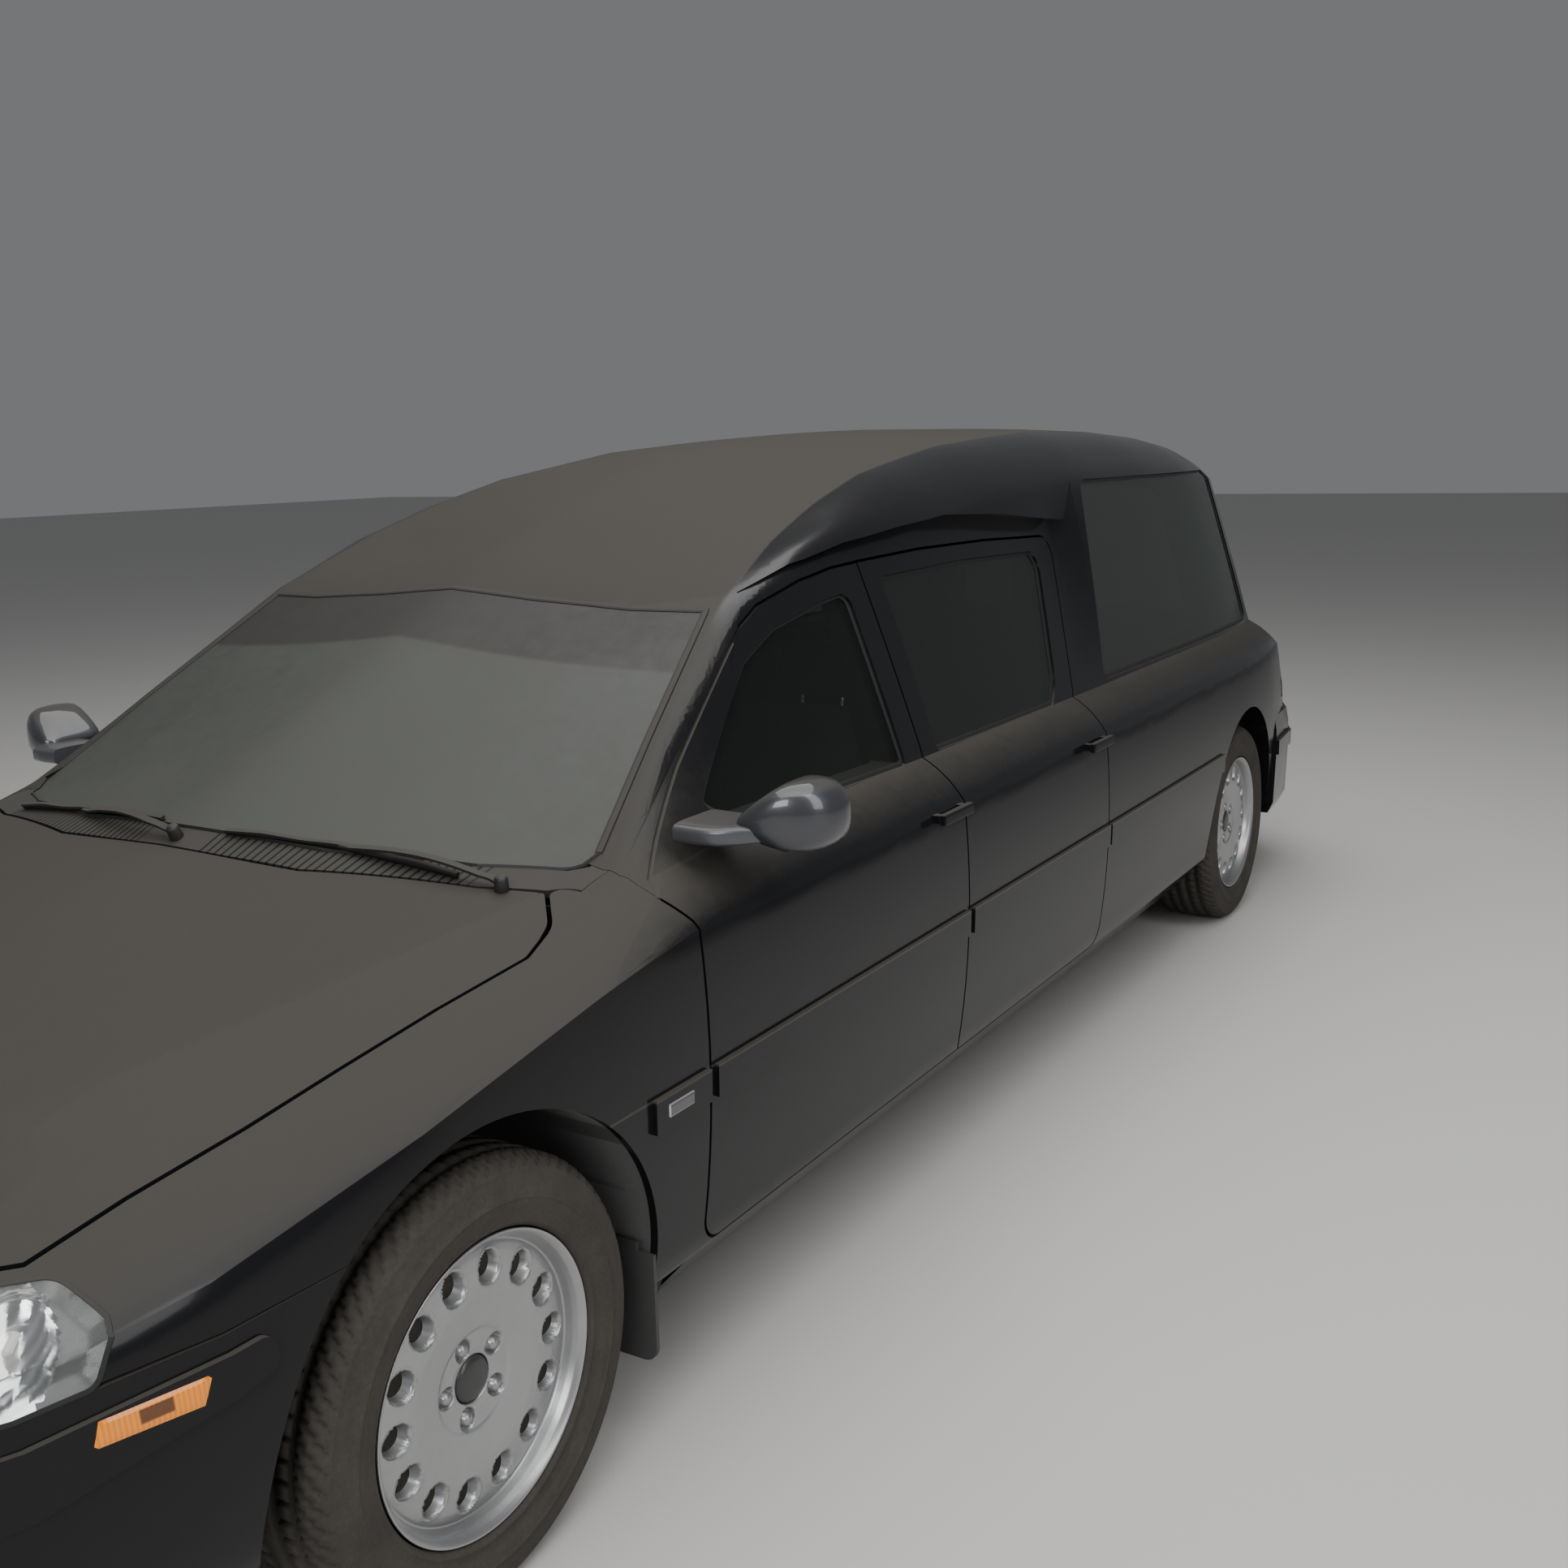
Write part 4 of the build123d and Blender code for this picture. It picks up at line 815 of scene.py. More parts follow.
def patch(corners, tree, side, lift, steps_along=16, steps_up=6):
    """A thin cover lying on the car's side between four (station, height) corners."""
    a, b, c, d = (Vector(corner) for corner in corners)
    grid = []
    for i in range(steps_along + 1):
        for j in range(steps_up + 1):
            low = a.lerp(d, i / steps_along)
            high = b.lerp(c, i / steps_along)
            station, height = low.lerp(high, j / steps_up)
            hit, normal, _, _ = tree.ray_cast(at(station, side * 2.0, height), Vector((0, -side, 0)))
            edge = i in (0, steps_along) or j in (0, steps_up)
            grid.append(hit + normal * (-0.001 if edge else lift))
    faces = []
    for i in range(steps_along):
        for j in range(steps_up):
            k = i * (steps_up + 1) + j
            quad = (k, k + 1, k + steps_up + 2, k + steps_up + 1)
            faces.append(quad if side < 0 else quad[::-1])
    mesh = bpy.data.meshes.new("patch")
    mesh.from_pydata(grid, [], faces)
    return smooth(mesh)


amber = Finish("amber_lens", Coat_Weight=0.5, IOR=1.5)
x, y, z = amber.axes()
station = FRONT_AXLE_X - x
# Painted shade: a darker patch, in colour and glow, for the bulb holder behind the lens and its shadow
holder = amber.steps((station + 0.509).math("ABSOLUTE"), 0.020, 0.017) * amber.steps(
    (z - 0.568).math("ABSOLUTE"), 0.0095, 0.007)
prisms = (x * 1100.0).math("SINE") * 0.5 + 0.5
clear_amber = amber.mix(prisms, (0.62, 0.15, 0.003, 1), (0.80, 0.25, 0.006, 1))
amber.set(Base_Color=amber.mix(holder, clear_amber, (0.12, 0.036, 0.004, 1)), Roughness=prisms * 0.1 + 0.2,
          Emission_Color=amber.mix(holder, (1.0, 0.34, 0.008, 1), (0.02, 0.006, 0.0, 1)), Emission_Strength=0.22)
for name, side in SIDES:
    mesh = patch(MARKER, surface("front_bumper"), side, MARKER_PROUD)
    shown("amber_marker_" + name, mesh, "body", amber, "lamp")

# Wing badges: a small bright-edged metal plate, glued to the front end of each rub strip. They carry no
# lettering.
BADGE = ((0.390, 0.571), (0.390, 0.596), (0.462, 0.596), (0.462, 0.571))
BADGE_PROUD = 0.0022
badge_metal = Finish("badge_metal", Metallic=0.7)
x, y, z = badge_metal.axes()
inner = badge_metal.steps(((FRONT_AXLE_X - x) - 0.426).math("ABSOLUTE"), 0.0325, 0.0315) * badge_metal.steps(
    (z - 0.5835).math("ABSOLUTE"), 0.0095, 0.0085)
badge_metal.set(Base_Color=badge_metal.mix(inner, (0.55, 0.55, 0.56, 1), (0.16, 0.16, 0.17, 1)),
                Roughness=badge_metal.noise(500.0) * 0.2 + 0.2)
for name, side in SIDES:
    mesh = patch(BADGE, surface("front_wing_" + name), side, BADGE_PROUD)
    shown("wing_badge_" + name, mesh, "body", badge_metal, "trim")

# Black plastics: the grille with its bright surround, the slotted trough below the windscreen, and the
# rubber-edged wiper blades on sprung steel arms.
plastic = Finish("black_plastic", Specular_IOR_Level=0.4)
dusted(plastic, (0.017, 0.017, 0.018, 1), 0.42, 0.9, 0.10)
cowl_black = Finish("slotted_cowl", Specular_IOR_Level=0.35)
_, coloured = dusted(cowl_black, (0.015, 0.015, 0.0155, 1), 0.5, 0.75, 0.10)
x, y, z = cowl_black.axes()
# The slots: near-black stripes across the cowl, painted shade standing in for the openings
slot_shade = cowl_black.steps((y * 390.0).math("SINE"), 0.45, 0.7) * cowl_black.steps(
    (y.math("ABSOLUTE") - 0.33).math("ABSOLUTE"), 0.26, 0.25)
cowl_black.set(Base_Color=cowl_black.mix(slot_shade, coloured, (0.004, 0.004, 0.004, 1)))
bright = Finish("bright_trim", Metallic=1.0)
dusted(bright, (0.50, 0.50, 0.51, 1), 0.16, 0.8, 0.06)
WIPER_ARMS = (
    # pivot station and y, bend, tip: where it holds its blade
    ((0.362, 0.640), (0.352, 0.560), (0.330, 0.330)),
    ((0.262, 0.010), (0.272, -0.060), (0.322, -0.310)),
)
BLADES = (
    # inner end, middle, outer end
    ((0.293, 0.100), (0.330, 0.330), (0.352, 0.560)),
    ((0.296, -0.060), (0.326, -0.310), (0.365, -0.560)),
)
SURROUND = ((-0.007, -0.001), (-0.006, 0.003), (-0.002, 0.004), (0.0005, 0.0))
PIVOT = ((0.0001, 0.026), (0.008, 0.025), (0.011, 0.021), (0.012, 0.0))
screen_trees = [surface(name) for name in ("cowl", "windscreen", "bonnet", "front_wing_left")]


def on_screen(station, across):
    """The highest of those surfaces there, or the nearest beside a gap between them."""
    hits = [tree.ray_cast(at(station, across, 3), Vector((0, 0, -1))) for tree in screen_trees]
    hits = [hit for hit in hits if hit[0]]
    if hits:
        return max(hits, key=lambda hit: hit[0].z)[:2]
    near = [tree.find_nearest(at(station, across, 0.93)) for tree in screen_trees]
    return min(near, key=lambda hit: hit[3])[:2]


def wiper_strip(name, points, first, second, lift, section, finish, *stands_for):
    """A strip over the screen along two straight runs; lift gives its height at each step."""
    start, middle, end = (Vector(point) for point in points)
    path = [start.lerp(middle, k / first) for k in range(first)]
    path += [middle.lerp(end, k / second) for k in range(second + 1)]
    spots = [on_screen(*point) for point in path]
    places = [place + normal * lift(k) for k, (place, normal) in enumerate(spots)]
    strip = swept(places, [normal for _, normal in spots], section, closed=False)
    shown(name, strip, "body", finish, "trim_black", *stands_for)


for name, finish in (("grille", plastic), ("cowl", cowl_black)):
    shown(name + "_moulding", flowing({name: gridded(name)})[name], "body", finish, "trim_black", name)
for ring in borders(gridded("grille"), (1, 0, 0)):
    reach = [place.y for place, _ in ring]
    if max(reach) - min(reach) > 0.4:
        sealed("grille_surround_1", ring, SURROUND, "body", bright, "trim")
for i, (arm, blade) in enumerate(zip(WIPER_ARMS, BLADES)):
    wiper_strip(
        f"wiper_arm_{i}", arm, 4, 10, lambda k: 0.010 + 0.016 * math.sin(math.pi * min(1, k / 13)),
        ((-0.007, 0), (-0.006, 0.004), (0.006, 0.004), (0.007, 0)), plastic, *(("wipers",) if i == 0 else ()))
    wiper_strip(
        f"wiper_rubber_{i}", blade, 12, 12, lambda k: 0.001,
        ((-0.0015, 0), (-0.003, 0.006), (0.003, 0.006), (0.0015, 0)), rubber_trim)
    wiper_strip(
        f"wiper_frame_{i}", blade, 12, 12, lambda k: 0.008 + 0.003 * math.sin(k * math.pi / 8) ** 2,
        ((-0.005, 0), (-0.004, 0.004), (0.004, 0.004), (0.005, 0)), plastic)
    pivot, normal = on_screen(*arm[0])
    knob = turned(PIVOT, 32, Matrix.Translation(pivot) @ normal.to_track_quat("Y", "Z").to_matrix().to_4x4())
    shown(f"wiper_pivot_{i}", knob, "body", plastic, "trim_black")

# Number plates: a blank pale plate of pressed sheet at each end, in a black moulded holder and held by two
# bolts through the bumper.
PLATES = (
    # name, plane, height, which way it faces
    ("front", 2.886, 0.400, 1),
    ("rear", -2.879, 0.420, -1),
)
PLATE_LONG, PLATE_TALL = 0.520, 0.112
PLATE_PROUD = 0.0022
PLATE_BOLT = ((0.0001, 0.0022), (0.0040, 0.0020), (0.0062, 0.0008), (0.0064, -0.001))
plate_face = Finish("blank_plate", Specular_IOR_Level=0.4)
plate_dust = plate_face.noise(24.0, 5.0, 0.6)
plate_face.set(Base_Color=plate_face.mix(plate_dust * 0.5, (0.62, 0.62, 0.60, 1), (0.36, 0.33, 0.29, 1)),
               Roughness=plate_dust * 0.3 + 0.3)
for name, plane, height, facing in PLATES:
    parts = (("holder", -0.040, 0.0005, 0.006, plastic), ("plate", 0.0, PLATE_PROUD, 0.0, plate_face))
    for part, back, front, grow, finish in parts:
        rings = [
            oval(Vector((plane + facing * out, 0, height)), Vector((0, PLATE_LONG / 2 + grow - inset, 0)),
                 Vector((0, 0, PLATE_TALL / 2 + grow - inset)), 14.0, 72)
            for out, inset in ((back, 0), (front - 0.001, 0), (front, 0.001))]
        shown(f"{name}_{part}", lofted(part, rings), "body", finish, "trim_black" if part == "holder" else "trim")
    for y in (-0.140, 0.140):
        bolt = turned(PLATE_BOLT, 24, Matrix.Translation((plane + facing * PLATE_PROUD, y, height)) @ Matrix.Rotation(
            math.radians(-90 * facing), 4, "Z"))
        shown(f"{name}_plate_bolt_{'left' if y > 0 else 'right'}", bolt, "body", bolt_steel, "trim")

# Tail lamps: red ribbed plastic lenses screwed to the rear corners, each with an amber field and a clear
# field for reversing, and a rubber seal round it.
TAIL_SEAL = ((-0.003, -0.001), (-0.003, 0.001), (0.003, 0.001), (0.003, -0.001))
tail_lens = Finish("tail_lens", Coat_Weight=0.5, IOR=1.5)
x, y, z = tail_lens.axes()
ribs = (z * 900.0).math("SINE") * 0.5 + 0.5
amber_field = tail_lens.steps((z - 0.790).math("ABSOLUTE"), 0.033, 0.031)
clear_field = tail_lens.steps((z - 0.728).math("ABSOLUTE"), 0.027, 0.025)
colour = tail_lens.mix(ribs, (0.16, 0.005, 0.006, 1), (0.24, 0.008, 0.009, 1))
colour = tail_lens.mix(amber_field, colour, (0.40, 0.11, 0.010, 1))
colour = tail_lens.mix(clear_field, colour, (0.30, 0.29, 0.28, 1))
film = tail_lens.steps(tail_lens.facing()[2] + tail_lens.noise(20.0) * 0.2, 0.45, 1.0)
tail_lens.set(Base_Color=tail_lens.mix(film, colour, DUST), Roughness=film * 0.6 + 0.10)
tail_lens.bump(ribs, 0.2, 0.0006)
tail_form = gridded("tail_lamps")
mesh = flowing({"tail_lamps": tail_form})["tail_lamps"]
shown("tail_lamp_lenses", mesh, "body", tail_lens, "tail_lamp", "tail_lamps")
for i, ring in enumerate(borders(tail_form, (-1, 0, 0), 0.1)):
    if len(ring) > 12:
        sealed(f"tail_lamp_seal_{i}", ring, TAIL_SEAL, "body", rubber_trim)

# Front seats: bases and back rests of foam covered in dark grey cloth, dished between a raised bolster down
# each edge, with a head restraint on two steel posts, on a black box and runners.
SEATS = (("left", 0.370), ("right", -0.370))
CUSHION = (
    # station, height of the middle, half depth, half width
    (1.262, 0.455, 0.045, 0.200), (1.285, 0.458, 0.062, 0.232), (1.400, 0.450, 0.068, 0.243),
    (1.560, 0.440, 0.072, 0.244), (1.690, 0.432, 0.074, 0.236), (1.735, 0.430, 0.066, 0.210),
)
BACK_REST = (
    # station, height, half depth, half width
    (1.712, 0.455, 0.052, 0.205), (1.738, 0.520, 0.062, 0.236), (1.765, 0.640, 0.064, 0.244),
    (1.796, 0.760, 0.062, 0.243), (1.832, 0.870, 0.056, 0.230), (1.856, 0.935, 0.048, 0.205),
    (1.866, 0.962, 0.034, 0.165),
)
HEAD_REST = (
    (1.872, 0.985, 0.028, 0.085), (1.874, 1.000, 0.040, 0.115), (1.877, 1.040, 0.044, 0.126),
    (1.879, 1.080, 0.042, 0.122), (1.880, 1.106, 0.032, 0.100), (1.880, 1.116, 0.018, 0.070),
)
SEAT_BASE = (
    # height, half depth, half width
    (0.285, 0.150, 0.205), (0.300, 0.158, 0.212), (0.370, 0.190, 0.225), (0.400, 0.200, 0.230),
)
BOLSTER = 0.30
BOLSTER_RISE = 0.35


def upholstered(name, rows, y, tilt, count=48):
    """A stuffed form: rounded sections across the car, dished between raised bolsters."""
    rings = []
    for station, height, thick, half in rows:
        middle = at(station, y, height)
        off = Vector((math.sin(tilt), 0, math.cos(tilt)))
        ring = oval(middle, Vector((0, half, 0)), off * thick, 3.2, count)
        for i, point in enumerate(ring):
            reach = abs(point.y - y) / half
            if (point - middle).dot(off) > 0:
                dish = thick * BOLSTER_RISE * math.exp(-(reach / (1 - BOLSTER)) ** 6)
                ring[i] = point - off * dish
        rings.append(ring)
    return lofted(name, rings)


cloth = Finish("dark_cloth", Roughness=0.92, Sheen_Weight=0.15)
x, y, z = cloth.axes()
weave = ((x * 1600.0).math("SINE") * (y * 1600.0).math("SINE")) * 0.5 + 0.5
worn = cloth.noise(9.0, 4.0)
shade = (weave * 0.5 + worn * 0.5).clamp()
cloth.set(Base_Color=cloth.mix(shade, (0.018, 0.019, 0.021, 1), (0.050, 0.052, 0.056, 1)))
cloth.bump(weave, 0.2, 0.0006)
post_steel = Finish("post_steel", Metallic=1.0, Base_Color=(0.45, 0.45, 0.46, 1))
post_steel.set(Roughness=post_steel.noise(200.0) * 0.2 + 0.15)
runner_black = Finish("runner_black", Metallic=0.3)
scuffs = runner_black.noise(60.0)
runner_black.set(Base_Color=runner_black.mix(scuffs, (0.015, 0.015, 0.016, 1), (0.035, 0.034, 0.032, 1)),
                 Roughness=runner_black.noise(90.0) * 0.3 + 0.4)


def rod(name, start, end, radius, segments=16):
    start, end = Vector(start), Vector(end)
    turn = (end - start).to_track_quat("Z", "Y").to_matrix()
    angles = [2 * math.pi * k / segments for k in range(segments)]
    rim = [turn @ Vector((radius * math.cos(angle), radius * math.sin(angle), 0)) for angle in angles]
    return lofted(name, [[place + point for point in rim] for place in (start, end)])


for name, y in SEATS:
    forms = (("cushion", CUSHION, math.radians(-4)), ("back_rest", BACK_REST, math.radians(77)),
             ("head_rest", HEAD_REST, math.radians(84)))
    for part, rows, tilt in forms:
        piece = shown(f"front_{part}_{name}", upholstered(part, rows, y, tilt), "body", cloth, "upholstery",
                      *(("front_seats",) if part == "cushion" else ()))
    for side in (-1, 1):
        across = y + side * 0.055
        post = rod("post", at(1.862, across, 0.940), at(1.876, across, 1.020), 0.006)
        shown(f"head_rest_post_{name}_{side + 1}", post, "body", post_steel, "trim")
        across = y + side * 0.190
        runner = [oval(at(s, across, 0.262), Vector((0, 0.018, 0)), Vector((0, 0, 0.024)), 6.0, 20)
                  for s in (1.300, 1.302, 1.638, 1.640)]
        shown(f"seat_runner_{name}_{side + 1}", lofted("runner", runner), "body", runner_black, "trim_black")
    base = [oval(at(1.480, y, z), Vector((a, 0, 0)), Vector((0, b, 0)), 6.0, 40) for z, a, b in SEAT_BASE]
    shown("seat_base_" + name, lofted("base", base), "body", runner_black, "trim_black")

# Rear bench: one wide foam base and back in the same cloth, pleated into three places, on two black boxes
# screwed to the floor.
BENCH_CUSHION = (
    (2.045, 0.455, 0.040, 0.560), (2.062, 0.458, 0.056, 0.585), (2.200, 0.452, 0.062, 0.595),
    (2.380, 0.446, 0.064, 0.592), (2.420, 0.442, 0.058, 0.575),
)
BENCH_BACK = (
    (2.425, 0.470, 0.034, 0.560), (2.442, 0.530, 0.044, 0.590), (2.485, 0.680, 0.046, 0.596),
    (2.530, 0.830, 0.044, 0.590), (2.560, 0.915, 0.036, 0.565), (2.569, 0.938, 0.024, 0.535),
)
PLACES = 3
PLEAT_DEPTH = {"cushion": Vector((0, 0, 0.012)), "back": Vector((0.010, 0, 0))}
for part, rows, tilt in (("cushion", BENCH_CUSHION, math.radians(-3)), ("back", BENCH_BACK, math.radians(73))):
    mesh = upholstered("bench_" + part, rows, 0.0, tilt, 120)
    for vert in mesh.vertices:
        share = (vert.co.y / 0.6 + 1) / 2 * PLACES
        groove = math.exp(-(((share + 0.5) % 1 - 0.5) / 0.035) ** 2) if 0.3 < share < PLACES - 0.3 else 0.0
        vert.co -= PLEAT_DEPTH[part] * groove
    piece = shown("rear_bench_" + part, mesh, "body", cloth, "upholstery",
                  *(("rear_seat",) if part == "cushion" else ()))
for side in (-1, 1):
    box = [oval(at(2.270, side * 0.355, z), Vector((a, 0, 0)), Vector((0, b, 0)), 9.0, 40)
           for z, a, b in ((0.240, 0.165, 0.215), (0.330, 0.170, 0.220), (0.398, 0.190, 0.228))]
    shown(f"bench_box_{side + 1}", lofted("box", box), "body", runner_black, "trim_black")

# Dashboard: one grained black moulding across the cabin, screwed to the bulkhead, with a hood over the
# dials, round vents with fins and a centre panel of plain keys.
grained = Finish("grained_black", Specular_IOR_Level=0.3)
pores = grained.noise(900.0, 2.0, 0.6)
film = grained.steps(grained.facing()[2] + grained.noise(5.0) * 0.3, 0.75, 1.2) * 0.55
black = grained.mix(pores, (0.012, 0.012, 0.013, 1), (0.030, 0.030, 0.031, 1))
grained.set(Base_Color=grained.mix(film, black, DUST), Roughness=film * 0.25 + 0.58)
grained.bump(pores, 0.3, 0.0004)
mesh = flowing({"dashboard": gridded("dashboard")})["dashboard"]
shown("dashboard_moulding", mesh, "body", grained, "trim", "dashboard")
dashboard_tree = surface("dashboard")
VENTS = (0.690, 0.090, -0.090, -0.690)
VENT_HEIGHT = 0.800
VENT_RADIUS = 0.035
VENT_RING = ((0.044, -0.002), (0.043, 0.004), (0.039, 0.006), (0.036, 0.004), (VENT_RADIUS, -0.001), (0.0001, -0.001))
FIN_PITCH = 0.012
DIALS_Y = 0.370
HOOD = (
    # station, half width, rise above the dials
    (0.770, 0.150, 0.052), (0.850, 0.158, 0.060), (0.852, 0.152, 0.054), (0.772, 0.143, 0.046),
)
fin_black = Finish("fin_black")
scuffs = fin_black.noise(200.0)
fin_black.set(Base_Color=fin_black.mix(scuffs, (0.008, 0.008, 0.008, 1), (0.020, 0.020, 0.020, 1)),
              Roughness=fin_black.noise(120.0) * 0.2 + 0.35)
dial_face = Finish("dial_face", Coat_Weight=0.8)
x, y, z = dial_face.axes()
round_dial = ((y - DIALS_Y).math("ABSOLUTE") - 0.060).math("ARCTAN2", z - 0.862)
ticks = dial_face.steps((round_dial * 24.0).math("SINE"), 0.55, 0.9)
mottled(dial_face, ticks, (0.006, 0.006, 0.007), (0.30, 0.30, 0.29), 0.3, 0.2)


def on_dashboard(across, height):
    return dashboard_tree.ray_cast(Vector((0.6, across, height)), Vector((1, 0, 0)))[:2]


for i, across in enumerate(VENTS):
    spot, normal = on_dashboard(across, VENT_HEIGHT)
    facing = Matrix.Translation(spot) @ normal.to_track_quat("Y", "Z").to_matrix().to_4x4()
    shown(f"vent_ring_{i}", turned(VENT_RING, 48, facing), "body", fin_black, "trim_black")
    for k in range(-2, 3):
        half = math.sqrt(VENT_RADIUS ** 2 - (k * FIN_PITCH) ** 2)
        fin = rod("fin", (-half, 0.003, k * FIN_PITCH), (half, 0.003, k * FIN_PITCH), 0.0016, 8)
        fin.transform(facing)
        shown(f"vent_fin_{i}_{k + 2}", fin, "body", fin_black, "trim_black")
arch = [math.pi * k / 24 for k in range(25)]
hood = [at(s, DIALS_Y + a * math.cos(turn), 0.872 + b * math.sin(turn)) for s, a, b in HOOD for turn in arch]
hood_mesh = bpy.data.meshes.new("hood")
hood_mesh.from_pydata(hood, [], [
    (i * 25 + k, i * 25 + k + 1, (i + 1) * 25 + k + 1, (i + 1) * 25 + k) for i in range(3) for k in range(24)])
shown("instrument_hood", hood_mesh, "body", grained, "trim")
dials = [oval(at(s, DIALS_Y, 0.866), Vector((0, 0.142, 0)), Vector((0, 0, 0.036)), 3.0, 60) for s in (0.800, 0.803)]
shown("instrument_dials", lofted("dials", dials), "body", dial_face, "trim")
for row in range(3):
    for column in range(5):
        spot, normal = on_dashboard((column - 2) * 0.040, 0.705 - row * 0.036)
        rise = normal.cross(Vector((0, 1, 0)))
        key = [oval(spot + normal * out, Vector((0, 0.016 - inset, 0)), rise * (0.013 - inset), 6.0, 16)
               for out, inset in ((-0.001, 0), (0.003, 0), (0.004, 0.001))]
        shown(f"dash_key_{row}_{column}", lofted("key", key), "body", fin_black, "trim_black")

# Steering wheel: a round rim covered in creased black leather, with three moulded spokes and a soft boss,
# pressed onto its column.
WHEEL_MIDDLE = at(1.030, 0.370, 0.800)
WHEEL_TILT = math.radians(25.0)
RIM_RADIUS = 0.182
RIM_THICK = 0.0145
SPOKE = (
    # radius, distance up the column, half width
    (0.050, -0.006, 0.030), (0.100, -0.008, 0.022), (0.150, -0.006, 0.016), (0.176, -0.002, 0.014),
)
BOSS = (
    # distance up the column, half width, half height
    (-0.014, 0.060, 0.052), (0.006, 0.078, 0.066), (0.014, 0.072, 0.060), (0.018, 0.052, 0.042),
)
leather = Finish("black_leather", Specular_IOR_Level=0.4)
crease = leather.noise(260.0, 5.0, 0.65)
mottled(leather, crease, (0.010, 0.010, 0.011), (0.028, 0.027, 0.027), 0.38, 0.25)
leather.bump(crease, 0.2, 0.0005)
facing = Matrix.Translation(WHEEL_MIDDLE) @ Vector(
    (-math.cos(WHEEL_TILT), 0, math.sin(WHEEL_TILT))).to_track_quat("Y", "Z").to_matrix().to_4x4()
angles = [2 * math.pi * k / 20 for k in range(20)]
section = [(RIM_RADIUS + RIM_THICK * math.cos(angle), RIM_THICK * math.sin(angle)) for angle in angles]
hoop = turned(section, 96, facing, closed=True)
shown("steering_hoop", hoop, "steering_wheel", leather, "trim", "steering_wheel")
for i, angle in enumerate((0, 180, 270)):
    turn = Matrix.Rotation(math.radians(-angle), 4, "Y")
    spoke = [oval(Vector((r, w, 0)), Vector((0, 0, half)), Vector((0, 0.006, 0)), 3.0, 24) for r, w, half in SPOKE]
    mesh = lofted("spoke", spoke)
    mesh.transform(facing @ turn)
    shown(f"steering_spoke_{i}", mesh, "steering_wheel", grained, "trim")
boss = [oval(Vector((0, w, -0.008)), Vector((a, 0, 0)), Vector((0, 0, b)), 3.0, 48) for w, a, b in BOSS]
mesh = lofted("boss", boss)
mesh.transform(facing)
shown("steering_boss", mesh, "steering_wheel", grained, "trim")

# Load deck: varnished boards edged with bright rails, steel-cored rubber rollers across it and four screw
# sockets for the coffin stops; its skirts are trimmed in grey carpet.
BOARD_WIDTH = 0.109
DECK_TOP = 0.625
RAIL_FOOT = 0.629
CARPET_TOP = 0.590
ROLLER_STATIONS = (2.720, 3.160, 3.500, 3.840, 4.330)
ROLLER_HALF, ROLLER_RADIUS = 0.411, 0.0148
SOCKETS = ((2.8, 0.3), (2.8, -0.3), (4.2, 0.3), (4.2, -0.3))
SOCKET_RING = ((0.0056, -0.004), (0.0056, 0.0012), (0.012, 0.0018), (0.0135, -0.0005))
deck = Finish("deck_boards", Coat_Weight=0.25, Coat_Roughness=0.2)
x, y, z = deck.axes()
board = (y * (1 / BOARD_WIDTH)).math("FRACT")
joint = deck.steps((board - 0.5).math("ABSOLUTE"), 0.475, 0.49)
stretched = deck.node("CombineXYZ", values={"X": x * 1.6, "Y": y * 42.0, "Z": z * 42.0})
grain = deck.node("TexNoise", values={"Vector": stretched, "Scale": 1.0, "Detail": 6.0, "Roughness": 0.6})
wood = deck.mix(grain, (0.085, 0.048, 0.024, 1), (0.20, 0.125, 0.066, 1))
wood = deck.mix(joint, wood, (0.015, 0.010, 0.007, 1))
rail = deck.steps(z, RAIL_FOOT, RAIL_FOOT + 0.002)
below = deck.steps(z, CARPET_TOP, CARPET_TOP - 0.004)
carpet = deck.mix(deck.noise(800.0, 3.0, 0.7), (0.030, 0.030, 0.031, 1), (0.075, 0.074, 0.073, 1))
top = deck.mix(rail, wood, (0.50, 0.50, 0.51, 1))
deck.set(Base_Color=deck.mix(below, top, carpet), Metallic=rail * 0.95, Roughness=below * 0.5 + grain * 0.2 + 0.28)
shown("load_deck_boards", skin_of("deck", gridded("load_deck", 0.12)), "body", deck, "deck", "load_deck")
roller_rubber = Finish("roller_rubber")
x, y, z = roller_rubber.axes()
bands = roller_rubber.steps((y * 70.0).math("SINE"), 0.80, 0.86)
mottled(roller_rubber, bands, (0.020, 0.020, 0.020), (0.36, 0.36, 0.36), 0.65, -0.3)
roller_rubber.set(Metallic=bands)
for i, station in enumerate(ROLLER_STATIONS):
    ends = [at(station, across, DECK_TOP) for across in (-ROLLER_HALF, ROLLER_HALF)]
    shown(f"deck_roller_{i}", rod("roller", *ends, ROLLER_RADIUS, 32), "body", roller_rubber, "deck")
for i, place in enumerate(SOCKETS):
    upright = Matrix.Translation(at(*place, DECK_TOP)) @ Matrix.Rotation(math.radians(90), 4, "X")
    shown(f"deck_socket_{i}", turned(SOCKET_RING, 32, upright), "body", bright, "deck")

